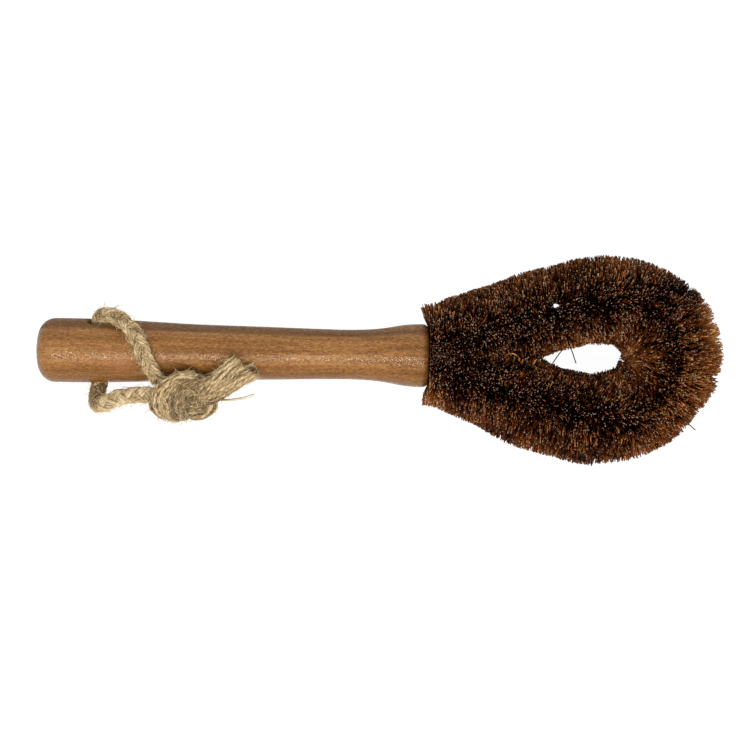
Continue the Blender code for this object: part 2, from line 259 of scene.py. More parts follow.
# %% [markdown]
# Setting down thousands of fibres as copies with modifiers would be slow.  Here every
# vertex of every fibre is worked out in one sum, from the fibre's line, its thickness
# and its roll, and the mesh takes them all at once with foreach_set.  The map holds the
# fibre's tone across and its length upwards, so that one material can paint them all.

# %% Set fibres down
FIBRE_MAP = "OFBake"
# A direction that no fibre follows, the width of a fibre's strip in its map, and the
# shares of the usual thickness that a fibre may have
ASKEW = np.array((0.31, 0.52, 0.79))
CORNER_SHIFT = 0.004
THIN_TO_THICK = (0.7, 1.3)


def set_down(name, lines, radii, rolls, tones):
    """One piece from many fibres; lines has a point for each ring of each fibre."""
    count = len(lines)
    tangents = unit(np.gradient(lines, axis=1))
    helper = unit(np.cross(tangents[:, 0], ASKEW))[:, None]
    first = unit(np.cross(tangents, helper))
    second = np.cross(tangents, first)
    turns = rolls[:, None] + CORNERS[None, :] * math.tau / 3
    around = (np.cos(turns)[..., None] * first[:, RINGS]
              + np.sin(turns)[..., None] * second[:, RINGS])
    places = lines[:, RINGS] + around * radii[:, RINGS, None]
    triangles = TRIANGLES[None] + np.arange(count)[:, None, None] * len(RINGS)
    triangles = triangles.reshape(-1, 3)
    mesh = bpy.data.meshes.new(name)
    mesh.vertices.add(count * len(RINGS))
    mesh.vertices.foreach_set("co", places.astype(np.float32).ravel())
    mesh.loops.add(triangles.size)
    mesh.loops.foreach_set("vertex_index", triangles.astype(np.int32).ravel())
    mesh.polygons.add(len(triangles))
    mesh.polygons.foreach_set("loop_start", np.arange(0, triangles.size, 3, dtype=np.int32))
    tone = tones[:, None] + (CORNERS[None] - 1) * CORNER_SHIFT
    height = np.broadcast_to(HEIGHTS[RINGS], tone.shape)
    spots = np.stack([tone, height], axis=-1).reshape(-1, 2)
    mesh.uv_layers.new(name=FIBRE_MAP)
    mesh.uv_layers[FIBRE_MAP].data.foreach_set(
        "uv", spots[triangles.ravel()].astype(np.float32).ravel())
    mesh.update(calc_edges=True)
    mesh.shade_smooth()
    piece = bpy.data.objects.new(name, mesh)
    bpy.context.scene.collection.objects.link(piece)
    return piece


print("a fibre's map:", FIBRE_MAP)

# %% [markdown]
# ## The hanging cord
#
# The cord is a flat plait of three strands, each of a few jute yarns.  It goes across
# the handle through a drilled hole.  Both ends meet beside the handle in one overhand
# knot and come out of it as loose yarns.  It could be one bevelled curve, but then the
# plait would be only painted on, so every yarn is a tube of its own that follows the
# cord's line.
#
# The cord's middle is hidden in the hole.  So it is made as two cords that start there,
# and each goes out of its own mouth of the hole and through the knot to its cut end.

# %% The cords' lines
LINE_STEP = 0.6 * MM
LINE_SMOOTHING = 1.5 * MM
# Places in millimetres from the butt, sideways and above the handle's axis
UPPER_ROUTE = (
    (21.7, 0.0, 0.0), (21.7, 5.5, 1.5), (21.7, 11.3, 3.0), (21.9, 12.6, 3.6),
    (23.4, 13.0, 4.9), (26.4, 13.1, 6.6), (29.4, 12.2, 8.4), (32.4, 10.2, 9.9),
    (35.4, 7.5, 11.6), (37.2, 5.0, 12.6), (39.4, -0.4, 13.4), (42.2, -6.4, 11.7),
    (44.4, -10.3, 8.3), (46.2, -12.5, 4.9), (49.5, -14.4, 5.2), (53.2, -16.5, 5.2),
    (56.0, -18.5, 4.7), (58.2, -19.5, 4.7), (60.3, -18.2, 5.7), (61.1, -15.8, 6.9),
    (60.3, -13.7, 8.0), (58.7, -12.4, 9.9), (56.5, -11.9, 11.9), (54.3, -12.8, 12.4),
    (52.8, -15.2, 11.2), (51.6, -18.1, 8.7), (51.3, -21.1, 5.1), (51.5, -23.8, -0.3),
    (53.0, -22.3, -3.5), (55.5, -19.3, -2.3), (57.7, -17.1, 1.6), (59.8, -15.5, 6.9),
    (61.3, -15.8, 7.6), (63.7, -15.6, 9.4), (67.3, -13.9, 10.0), (71.6, -11.3, 9.8),
    (75.9, -8.8, 10.0), (80.2, -6.5, 10.8),
)
LOWER_ROUTE = (
    (21.7, 0.0, 0.0), (21.7, -5.5, -1.5), (21.7, -11.3, -3.0), (21.1, -14.0, -3.6),
    (20.4, -17.5, -3.2), (21.0, -20.4, -1.5), (24.0, -19.6, 0.2), (28.0, -17.2, 0.8),
    (33.0, -16.2, 1.2), (38.0, -15.7, 1.2), (41.8, -16.0, 1.3), (45.2, -17.2, 1.9),
    (48.9, -18.6, 2.4), (52.6, -20.8, 0.1), (56.5, -22.2, -1.5), (59.8, -21.6, -1.3),
    (62.3, -18.8, 0.3), (62.5, -15.0, 2.6), (60.8, -11.9, 5.8), (58.1, -9.7, 9.6),
    (54.7, -9.1, 13.1), (50.9, -10.0, 14.1), (47.2, -12.8, 12.8), (44.9, -16.4, 10.0),
    (44.8, -20.5, 5.8), (46.6, -23.4, 0.9), (48.9, -24.4, -3.8), (51.4, -21.3, -4.2),
    (54.2, -17.9, -2.0), (56.7, -15.6, 2.5), (59.3, -14.4, 8.2), (61.6, -12.9, 12.4),
    (64.4, -11.8, 13.4), (67.5, -9.0, 13.3), (70.7, -6.0, 13.2), (74.0, -3.3, 13.4),
)


def resample(points, step):
    """Points at an even step along a line."""
    points = np.asarray(points, float)
    lengths = np.r_[0, np.cumsum(np.linalg.norm(np.diff(points, axis=0), axis=1))]
    places = np.linspace(0, lengths[-1], max(int(round(lengths[-1] / step)), 2) + 1)
    return np.stack([np.interp(places, lengths, points[:, k]) for k in range(3)], axis=1)


def smooth_line(route):
    """The soft line that a limp cord takes through the places of its route."""
    line = resample([beside_handle(*place) for place in route], LINE_STEP)
    reach = int(3 * LINE_SMOOTHING / LINE_STEP)
    weights = np.exp(-0.5 * (np.arange(-reach, reach + 1) * LINE_STEP / LINE_SMOOTHING) ** 2)
    weights /= weights.sum()
    before = 2 * line[0] - line[reach:0:-1]
    after = 2 * line[-1] - line[-2:-reach - 2:-1]
    longer = np.concatenate([before, line, after])
    soft = [np.convolve(longer[:, k], weights, "valid") for k in range(3)]
    return resample(np.stack(soft, axis=1), LINE_STEP)


CORD_ROUTES = {"upper": UPPER_ROUTE, "lower": LOWER_ROUTE}
CORD_LINES = {name: smooth_line(route) for name, route in CORD_ROUTES.items()}

# %% [markdown]
# A flat cord also needs to know which way its flat side faces.  A frame carried along
# the line without twist gives that, and a few places where the facing is known, such as
# flat on the handle, are reached by a slow extra roll.

# %% Frames along a cord
KNOT_LEAN = math.radians(36)
KNOT_OUT = np.array([0, -math.sin(KNOT_LEAN), math.cos(KNOT_LEAN)])
# Sideways places between which a cord lies on the handle, and its facing past them
OVER_HANDLE = (-12, 11.5)
FACING_UP = (0, 0.3, 1)


def carried_frames(line, facings):
    """Tangents, flat-side normals and side directions along a line."""
    tangents = unit(np.gradient(line, axis=0))
    normal = np.array(facings[0][1], float)
    normals = []
    for tangent in tangents:
        normal = unit(normal - tangent * normal.dot(tangent))
        normals.append(normal)
    normals = np.array(normals)
    places, rolls = [], []
    for index, wanted in facings:
        tangent, normal = tangents[index], normals[index]
        wanted = unit(np.array(wanted) - tangent * np.dot(wanted, tangent))
        roll = math.atan2(np.cross(normal, wanted).dot(tangent), normal.dot(wanted))
        previous = rolls[-1] if rolls else 0
        roll -= math.pi * round((roll - previous) / math.pi)
        places.append(index)
        rolls.append(roll)
    roll = np.interp(np.arange(len(line)), places, rolls)[:, None]
    sides = np.cross(tangents, normals)
    normals, sides = (normals * np.cos(roll) + sides * np.sin(roll),
                      sides * np.cos(roll) - normals * np.sin(roll))
    return tangents, normals, sides


def nearest_index(line, place):
    """Number of the line's point that is nearest to a place of its route."""
    return int(np.argmin(np.linalg.norm(line - np.array(beside_handle(*place)), axis=1)))


def facings_of(line, route, leg, knot):
    """The hole, the leg's places and the knot's places give the flat side's facing."""
    facings = [(0, (0, 0, 1))]
    for place in route[slice(*leg)]:
        on_handle = OVER_HANDLE[0] < place[1] < OVER_HANDLE[1]
        facing = (0, *place[1:]) if on_handle else FACING_UP
        facings.append((nearest_index(line, place), facing))
    facings += [(nearest_index(line, route[index]), KNOT_OUT) for index in knot]
    return sorted(facings, key=lambda facing: facing[0])


print("knot leans by", round(math.degrees(KNOT_LEAN)), "degrees")

# %% [markdown]
# ## The yarns of a cord
#
# In a three-strand plait each strand swings from side to side like a sine wave and
# dives under its neighbours twice as often.  A strand is a flat band of yarns, so its
# yarns make the same swing one shortly after another.  Inside the knot the cord is
# pulled flat and its yarns run side by side.  Behind the knot the plait has opened, and
# each yarn goes its own way.

# %% Where the yarns lie in the cord
STRANDS, YARNS_PER_STRAND = 3, 3
YARNS = STRANDS * YARNS_PER_STRAND
YARN_RADIUS = 0.73 * MM
YARN_LAG = math.radians(33)
# Length of one full crossing of the plait, and how far its strands swing sideways
PLAITS = {"upper": (18.0 * MM, 2.05 * MM), "lower": (15.0 * MM, 2.40 * MM)}
PLAIT_DIVE, DIVE_LAG, DIVE_SHARPNESS = 0.66 * MM, 0.4, 2
LAID_SPACING = 1.26 * MM
LAID_HEIGHT = 0.56 * MM
# How unevenly the yarns lie in the plait, and how they wander in the knot and the tail,
# with the waves and sways in millimetres
UNEVEN_SWING, UNEVEN_DIVE = 0.06, 0.10 * MM
WAVE_LENGTHS = (5.5, 9, 13, 21)
SWAYS, RISE, LOOSENESS = (0.14, 0.24, 0.32), 0.40 * MM, 0.26 * MM
CALMER_TAIL, THICKER_TAIL = 0.6, 0.2


def smooth_share(value):
    """0 below 0, 1 above 1 and smooth between."""
    value = np.clip(value, 0, 1)
    return value * value * (3 - 2 * value)


def yarn_places(along, plait, knot, tail, chance):
    """Sideways and upward offsets of each yarn; knot and tail run from 0 to 1."""
    cycle, swing = plait
    places = []
    for strand in range(STRANDS):
        phase = math.tau * (along / cycle + strand / STRANDS)
        for yarn in range(YARNS_PER_STRAND):
            lag = YARN_LAG * (yarn - (YARNS_PER_STRAND - 1) / 2)
            dive = np.tanh(DIVE_SHARPNESS * np.sin(2 * (phase + DIVE_LAG * lag)))
            places.append((swing * np.sin(phase + lag) * (1 + chance.normal(0, UNEVEN_SWING)),
                           PLAIT_DIVE * dive + chance.normal(0, UNEVEN_DIVE)))
    places = np.array(places)
    order = np.argsort(places[:, 0, int(np.argmax(knot > 0))])
    for rank, index in enumerate(order):
        laid = (rank - (YARNS - 1) / 2) * LAID_SPACING / 2
        level = (0.5 - rank % 2) * 2 * LAID_HEIGHT
        waves = [np.sin(math.tau * along / (length * MM) + chance.uniform(0, math.tau))
                 for length in WAVE_LENGTHS]
        sway = sum(share * wave for share, wave in zip(SWAYS, waves))
        sway = sway * (1 - CALMER_TAIL * tail) * MM
        loose = chance.normal(0, LOOSENESS, 2)
        side = laid + sway + loose[0] * tail
        up = level * (1 + THICKER_TAIL * tail) + RISE * waves[-1] + loose[1] * tail
        places[index, 0] = places[index, 0] * (1 - knot) + side * knot
        places[index, 1] = places[index, 1] * (1 - knot) + up * knot
    return places


print("yarns in a cord:", YARNS)

# %% [markdown]
# Each yarn is swept from a flat grid.  The grid is rolled round the yarn's line, its
# seam is merged, and both ends are closed.  The grid brings its own UV map, so the
# twist of the jute fibres can follow the yarn.  A tone is kept at each point, because no
# two yarns are alike, and painted shade darkens the knot and the yarns' sides that face
# into the cord.

# %% Sweep a yarn
YARN_SIDES = 9
YARN_UV = "YarnMap"
TONE = "tone"
# How much darker painted shade makes a yarn's inner side, and how far round it the painted
# shade comes
YARN_GAP_SHADE, GAP_SHADE_EDGE = 1.12, 0.40


def sweep_tube(shape, line, normals, radii, sides, tones, outward):
    """A tube round a line, rolled up from a grid, with tones darkened inwards by painted
    shade.
    """
    rings = len(line)
    tone_layer = shape.verts.layers.float[TONE]
    tangents = unit(np.gradient(line, axis=0))
    across = unit(np.cross(tangents, normals))
    out = np.cross(across, tangents)
    turns = np.arange(sides + 1) * math.tau / sides
    ring = (np.cos(turns)[None, :, None] * across[:, None]
            + np.sin(turns)[None, :, None] * out[:, None])
    places = line[:, None] + ring * radii[:, None, None]
    facing = (ring * outward[:, None]).sum(axis=-1)
    tones = tones[:, None] - YARN_GAP_SHADE * np.clip((GAP_SHADE_EDGE - facing) / (1 + GAP_SHADE_EDGE), 0, 1)
    grid = bmesh.ops.create_grid(shape, x_segments=rings - 1, y_segments=sides, size=1,
                                 calc_uvs=True)["verts"]
    for vertex in grid:
        row = round((vertex.co.x + 1) / 2 * (rings - 1))
        column = round((vertex.co.y + 1) / 2 * sides)
        vertex.co = places[row, column]
        vertex[tone_layer] = tones[row, column]


def close_tubes(shape, gap):
    """Merge the seams of rolled grids, close their ends and turn the faces outwards."""
    bmesh.ops.remove_doubles(shape, verts=shape.verts, dist=gap)
    bmesh.ops.holes_fill(shape, edges=[e for e in shape.edges if e.is_boundary], sides=0)
    bmesh.ops.recalc_face_normals(shape, faces=shape.faces)


def as_piece(name, shape):
    """Turn a bmesh into an object at the origin."""
    mesh = bpy.data.meshes.new(name)
    shape.to_mesh(mesh)
    shape.free()
    mesh.shade_smooth()
    piece = bpy.data.objects.new(name, mesh)
    bpy.context.scene.collection.objects.link(piece)
    return piece


print("sides of a yarn:", YARN_SIDES)

# %% [markdown]
# Now both cords can be made.  A cord's plan names the places of its route where it
# leaves the handle's shelter, where its knot starts and where its tail starts.  The
# places, thickness and tones of its yarns change softly there.

# %% Make both cords
CORD_SEED, TAIL_LAG, HOLE_MOUTH = 44, 6, 2
CORD_NODES = {
    "upper": ("cord_in_handle", "cord_upper_leg", "cord_knot", "cord_upper_tail"),
    "lower": ("cord_lower_leg", "cord_lower_tail"),
}
# Places of the route by number: two that bound the leg, those in the knot where the
# flat side's facing is known, and the three where something changes
CORD_PLAN = {
    "upper": ((4, 13), (15, 18, 21, 25, 36), (1, 12, 32)),
    "lower": ((4, 10), (12, 15, 18, 23, 34), (4, 10, 31)),
}
SHELTER_FADE, KNOT_FADE, TAIL_FADE = 4 * MM, 7 * MM, 10 * MM
# Random tones of the yarns, then painted light and shade for each cord: the lower cord is
# lighter and the upper one a little darker
YARN_TONES, CORD_PAINTED_LIGHT = (0.32, 0.95), {"upper": -0.12, "lower": 0.34}
# Painted shade in the knot, and where the handle shelters the cord
KNOT_SHADE, SHELTER_SHADE = 0.56, 1.3
YARN_THICKNESS, THINNER_TAIL = (0.88, 1.1), 0.1
YARN_SWELL, SWELL_PACE, SWELL_STARTS = 0.06, 0.9, (0, 6)
# How much sideways places count for where a yarn's outer side is, and how much the knot
# evens out the painted shade
SIDEWAYS_SHARE, EVENER_KNOT = 0.7, 0.5
SEAM_GAP = 0.002 * MM

cord_shapes, cord_yarns = {}, {}
for seed, (name, (leg, knot_places, stations)) in enumerate(CORD_PLAN.items()):
    chance = np.random.default_rng(CORD_SEED + seed)
    line, route = CORD_LINES[name], CORD_ROUTES[name]
    along = np.arange(len(line)) * LINE_STEP
    shelter_end, knot_start, tail_start = (nearest_index(line, route[k]) * LINE_STEP
                                           for k in stations)
    sheltered = 1 - smooth_share((along - shelter_end) / SHELTER_FADE)
    knot = smooth_share((along - knot_start) / KNOT_FADE)
    tail = smooth_share((along - tail_start) / TAIL_FADE)
    knotted = knot * (1 - tail)
    shade = KNOT_SHADE * knotted + SHELTER_SHADE * sheltered
    facings = facings_of(line, route, leg, knot_places)
    tangents, normals, sides = carried_frames(line, facings)
    shape = bmesh.new()
    shape.loops.layers.uv.new(YARN_UV)
    shape.verts.layers.float.new(TONE)
    yarns = []
    for sideways, up in yarn_places(along, PLAITS[name], knot, tail, chance)[..., None]:
        end = len(line) - chance.integers(0, TAIL_LAG)
        yarn = (line + sides * sideways + normals * up)[:end]
        thick = YARN_RADIUS * chance.uniform(*YARN_THICKNESS)
        waves = np.arange(end) * SWELL_PACE + chance.uniform(*SWELL_STARTS)
        swell = 1 + YARN_SWELL * np.sin(waves)
        radii = thick * swell * (1 - THINNER_TAIL * tail[:end])
        tones = chance.uniform(*YARN_TONES) + CORD_PAINTED_LIGHT[name] - shade[:end]
        outward = unit(sides * sideways * SIDEWAYS_SHARE + normals * up + TINY)
        outward *= (1 - EVENER_KNOT * knotted)[:, None]
        sweep_tube(shape, yarn, normals[:end], radii, YARN_SIDES, tones, outward[:end])
        yarns.append(yarn)
    close_tubes(shape, SEAM_GAP)
    cord_shapes[name], cord_yarns[name] = shape, yarns
    print(name, "cord:", len(shape.faces), "faces")

# %% [markdown]
# Jute is a hairy yarn: short loose ends stand out all along it, and the cut ends fray.
# A bump in the material would stop at the yarn's edge, so these hairs are the pattern
# fibre again, made very thin.

# %% Fuzz on the cords
FUZZ_HAIRS, FRAYED_HAIRS = 6000, 16
FUZZ_RADIUS, FUZZ_TAPER = 0.065 * MM, (1, 0.9, 0.75, 0.5)
FUZZ_START, FRAYED_STEPS = 13 * MM, 4
FUZZ_SPREAD, FRAYED_SPREAD, FUZZ_CURL = (0.25, 1.2), (0.1, 0.45), 0.5
# Fuzz has a least, a usual further and a greatest length, and frayed ends have a range
SHORTEST_FUZZ, FURTHER_FUZZ, LONGEST_FUZZ = 0.9, 1.1, 4.5
FRAYED_LENGTH = (1.0, 2.6)
# A thin yarn end that has worked loose beside the knot
LOOSE_END = ((66.5, -17.2, 4.6), (70.5, -17.1, 6.0), (75.0, -16.4, 6.4), (79.0, -15.1, 6.0))
LOOSE_HAIRS, HAIRS_APART, FANNING = 16, 0.16 * MM, (0.8, 1.8)
# How far out in a yarn its fuzz starts, as a share of the yarn's radius
FUZZ_ROOT = 0.7


def fuzz_lines(yarns, chance):
    """Short curved lines that leave the yarns, and tufts at their cut ends."""
    lines = []
    share = HEIGHTS[:, None]
    for count, frayed in ((FUZZ_HAIRS, False), (FRAYED_HAIRS * len(yarns), True)):
        for number in range(count):
            yarn = yarns[number % len(yarns)]
            first = len(yarn) - FRAYED_STEPS if frayed else int(FUZZ_START / LINE_STEP)
            index = chance.integers(first, len(yarn) - 2)
            forward = unit(yarn[index + 1] - yarn[index])
            forward = forward * (1 if frayed else chance.choice((-1, 1)))
            out = unit(np.cross(forward, chance.normal(0, 1, 3)))
            curl = np.cross(forward, out) * chance.normal(0, FUZZ_CURL)
            curl -= out * chance.uniform(0, FUZZ_CURL)
            spread = chance.uniform(*(FRAYED_SPREAD if frayed else FUZZ_SPREAD))
            length = chance.uniform(*FRAYED_LENGTH) if frayed else min(
                SHORTEST_FUZZ + chance.exponential(FURTHER_FUZZ), LONGEST_FUZZ)
            heading = unit(forward + out * spread) * length * MM
            lines.append(yarn[index] + out * YARN_RADIUS * FUZZ_ROOT + heading * share
                         + curl * length * MM * share ** 2)
    return np.array(lines)


def loose_lines(chance):
    """Hairs that lie together as one thin yarn end."""
    line = np.array([beside_handle(*place) for place in LOOSE_END])
    apart = chance.normal(0, HAIRS_APART, (LOOSE_HAIRS, 1, 3))
    return line + apart * np.linspace(*FANNING, len(line))[:, None]


print("hairs on each cord:", FUZZ_HAIRS + FRAYED_HAIRS * YARNS)

# %% [markdown]
# Each cord is now a piece, and its fuzz another.

# %% The cords and their fuzz as pieces
FUZZ_SEED = 60
FUZZ_TONES = (0.1, 0.9)

cords, fuzz_pieces = {}, []
for seed, (name, shape) in enumerate(cord_shapes.items()):
    chance = np.random.default_rng(FUZZ_SEED + seed)
    lines = fuzz_lines(cord_yarns[name], chance)
    if name == "lower":
        lines = np.concatenate([lines, loose_lines(chance)])
    thick = FUZZ_RADIUS * chance.uniform(*THIN_TO_THICK, len(lines))
    rolls = chance.uniform(0, math.tau, len(lines))
    fuzz = set_down(f"cord_{name}_fuzz", lines, thick[:, None] * np.array(FUZZ_TAPER),
                    rolls, chance.uniform(*FUZZ_TONES, len(lines)))
    cord = as_piece("cord_" + name, shape)
    for piece in (cord, fuzz):
        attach(piece, "root")
    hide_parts(*CORD_NODES[name])
    cords[name] = cord
    fuzz_pieces.append(fuzz)
print("pieces of cord:", len(cords) + len(fuzz_pieces))

# %% [markdown]
# ## Jute
#
# Jute is a straw-coloured bast fibre with a dull surface.  Each yarn is twisted from
# many fibres, so fine light and dark lines run round it at a slant, and no two yarns
# have the same tone.  Noise on Object coordinates would lie across the yarns, so it is
# stretched and slanted on the map that each yarn's grid brought.

# %% Jute finish
def jute_finish():
    jute = Finish("jute", {"Roughness": 0.85, "Sheen Weight": 0.15, "Sheen Roughness": 0.5})
    tone = jute.node("Attribute", {"attribute_name": TONE}, output=2)
    along, around, _ = jute.split(jute.node("UVMap", {"uv_map": YARN_UV}))
    slant = jute.node("CombineXYZ", {}, {0: along * 34 + around * 6,
                                         1: around * 38 - along * 60, 2: tone * 9})
    twist = jute.node("CombineXYZ", {}, {0: along * 45 + around * 3,
                                         1: around * 9 - along * 150, 2: tone * 5})
    fibres, plies = jute.noise(slant, 1, 4), jute.noise(twist, 1)
    patches = jute.noise(jute.place(), 260, 3)
    light = plies * 1.60 + fibres * 0.60 + tone * 0.36 + patches * 0.30 - 0.965
    colour = jute.ramp(light, ((0.16, (0.110, 0.058, 0.018)), (0.42, (0.47, 0.320, 0.144)),
                               (0.60, (0.73, 0.555, 0.310)), (0.84, (0.97, 0.83, 0.59))))
    jute.feed(jute.shader, {"Base Color": colour,
                            "Normal": jute.bump(plies * 0.6 + fibres * 0.4, 0.75 * MM)})
    return jute


def fuzz_finish():
    fuzz = Finish("jute_fuzz", {"Roughness": 0.8, "Specular IOR Level": 0.2})
    tone = fuzz.split(fuzz.node("UVMap", {"uv_map": FIBRE_MAP}))[0]
    fuzz.feed(fuzz.shader, {"Base Color": fuzz.ramp(
        tone, ((0.1, (0.38, 0.265, 0.125)), (0.9, (0.86, 0.70, 0.42))))})
    return fuzz


jute, fuzz_material = jute_finish(), fuzz_finish()
for cord in cords.values():
    jute.wear(cord)
for piece in fuzz_pieces:
    fuzz_material.wear(piece)
print("jute on", len(cords), "cords")

# %% [markdown]
# ## The turned handle
#
# A handle like this is turned on a lathe from one square billet, so it is one profile
# spun about its axis.  The profile has the CAD model's sizes with more points, softly
# joined.  The cord hole is drilled afterwards, and its edges are eased with sandpaper:
# a cutter with a trumpet at both ends does the same in one cut.

# %% The handle's profile
GRIP_RADIUS, NECK_RADIUS, COLLAR_RADIUS = 11.7 * MM, 9.0 * MM, 11.5 * MM
BUTT_FACE_RADIUS, BUTT_ROUND = 5.5 * MM, 6.0 * MM
COLLAR_ROUND = 2.4 * MM
BORE_RADIUS, BORE_DEPTH, DRILL_POINT = 5.2 * MM, 28.0 * MM, 3.0 * MM
# Share of the handle's length, and radius as a share between the neck's and the grip's
GRIP_SHARES = ((0.042, 1.00), (0.080, 1.01), (0.120, 1.00), (0.162, 0.944),
               (0.239, 0.852), (0.275, 0.741), (0.317, 0.648), (0.394, 0.444),
               (0.472, 0.352), (0.585, 0.241), (0.697, 0.093), (0.796, 0.000),
               (0.852, 0.111), (0.894, 0.370), (0.930, 0.778), (0.964, 0.926),
               (0.983, 0.926))
PROFILE_STEP = 1.6 * MM
PROFILE_SOFTENING = 3
HANDLE_SIDES = 120
ROUND_STEPS = 12


def quarter(start, end, bulge_first):
    """Points of a quarter ellipse from one profile point to another."""
    points = []
    for step in range(1, ROUND_STEPS + 1):
        turn = math.pi / 2 * step / ROUND_STEPS
        ahead, behind = math.sin(turn), 1 - math.cos(turn)
        along, out = (behind, ahead) if bulge_first else (ahead, behind)
        points.append((start[0] + (end[0] - start[0]) * along,
                       start[1] + (end[1] - start[1]) * out))
    return points


def handle_profile():
    """Half section of the handle as (distance from the butt, radius)."""
    places = np.arange(BUTT_ROUND, HANDLE_LENGTH - COLLAR_ROUND, PROFILE_STEP)
    shares = np.interp(places / HANDLE_LENGTH, *np.array(GRIP_SHARES).T)
    for _ in range(PROFILE_SOFTENING):
        shares[1:-1] = (shares[:-2] + 2 * shares[1:-1] + shares[2:]) / 4
    radii = NECK_RADIUS + (GRIP_RADIUS - NECK_RADIUS) * shares
    rim = (0, BUTT_FACE_RADIUS)
    profile = [(0, 0), (0, BUTT_FACE_RADIUS * 0.5), rim]
    profile += quarter(rim, (places[0], radii[0]), True)
    profile += list(zip(places[1:], radii[1:]))
    start = (HANDLE_LENGTH - COLLAR_ROUND, radii[-1])
    end = (HANDLE_LENGTH, COLLAR_RADIUS - COLLAR_ROUND)
    profile += [start, *quarter(start, end, False)]
    bore_end = HANDLE_LENGTH - BORE_DEPTH
    return profile + [(HANDLE_LENGTH, BORE_RADIUS), (bore_end, BORE_RADIUS),
                      (bore_end - DRILL_POINT, 0)]


profile = handle_profile()
print("profile points:", len(profile))

# %% [markdown]
# Blender's spin operator does the lathe's work.  The profile starts and ends on the
# axis, so both ends close, and the doubled points there are merged.  The same function
# turns the cutter for the cord hole.

# %% Spin a profile
MERGE_GAP = 0.01 * MM


def spin_profile(profile, origin, axis, sides):
    """A closed turned shape from a profile of (along, out) points."""
    shape = bmesh.new()
    rows = [shape.verts.new((along, 0, out)) for along, out in profile]
    edges = [shape.edges.new(pair) for pair in zip(rows, rows[1:])]
    bmesh.ops.spin(shape, geom=rows + edges, axis=(1, 0, 0), cent=(0, 0, 0),
                   steps=sides, angle=math.tau, use_merge=True)
    bmesh.ops.remove_doubles(shape, verts=shape.verts, dist=MERGE_GAP)
    bmesh.ops.recalc_face_normals(shape, faces=shape.faces)
    turned = Vector((1, 0, 0)).rotation_difference(Vector(axis))
    bmesh.ops.transform(shape, matrix=Matrix.Translation(origin) @ turned.to_matrix().to_4x4(),
                        verts=shape.verts)
    return shape


print("profiles are merged within", MERGE_GAP / MM, "mm")

# %% [markdown]
# The hole meets the round grip in a saddle-shaped edge, which would be hard to build
# point by point.  A Boolean modifier with the exact solver finds it.  Its result then
# becomes the handle's own mesh, so that no modifier and no cutter stay behind.

# %% Turn and drill the handle
HOLE_RADIUS, HOLE_FROM_BUTT = 4.2 * MM, 21.7
HOLE_TURN = math.radians(15)
HOLE_EASING, EASING_STEPS = 0.9 * MM, 5
HOLE_DEPTH, HOLE_SIDES = 11.4 * MM, 48
# The cutter's flare starts this deep, and its ends pass the handle on every side
EASING_DEPTH = HOLE_EASING * 1.2
CUTTER_REACH, CUTTER_RADIUS = HOLE_DEPTH * 1.5, HOLE_RADIUS + 3 * HOLE_EASING
SHARP_ANGLE = math.radians(40)

handle = as_piece("beech_handle", spin_profile(profile, AXIS_POINT, (1, 0, 0), HANDLE_SIDES))
half_trumpet = [(CUTTER_REACH, 0), (CUTTER_REACH, CUTTER_RADIUS)]
half_trumpet += [(HOLE_DEPTH - EASING_DEPTH * step / EASING_STEPS,
                  HOLE_RADIUS + HOLE_EASING * (1 - step / EASING_STEPS) ** 2)
                 for step in range(EASING_STEPS + 1)]
trumpet = half_trumpet + [(-along, out) for along, out in reversed(half_trumpet)]
hole_axis = (0, math.cos(HOLE_TURN), math.sin(HOLE_TURN))
drill = as_piece("drill", spin_profile(trumpet, beside_handle(HOLE_FROM_BUTT, 0, 0),
                                       hole_axis, HOLE_SIDES))
cut = handle.modifiers.new("cord_hole", "BOOLEAN")
cut.operation, cut.solver, cut.object = "DIFFERENCE", "EXACT", drill
drilled = bpy.data.meshes.new_from_object(
    handle.evaluated_get(bpy.context.evaluated_depsgraph_get()))
handle.modifiers.clear()
handle.data = drilled
bpy.data.objects.remove(drill)
handle.data.shade_smooth()
handle.data.set_sharp_from_angle(angle=SHARP_ANGLE)
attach(handle, "root")
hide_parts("handle")
print("handle faces:", len(handle.data.polygons))
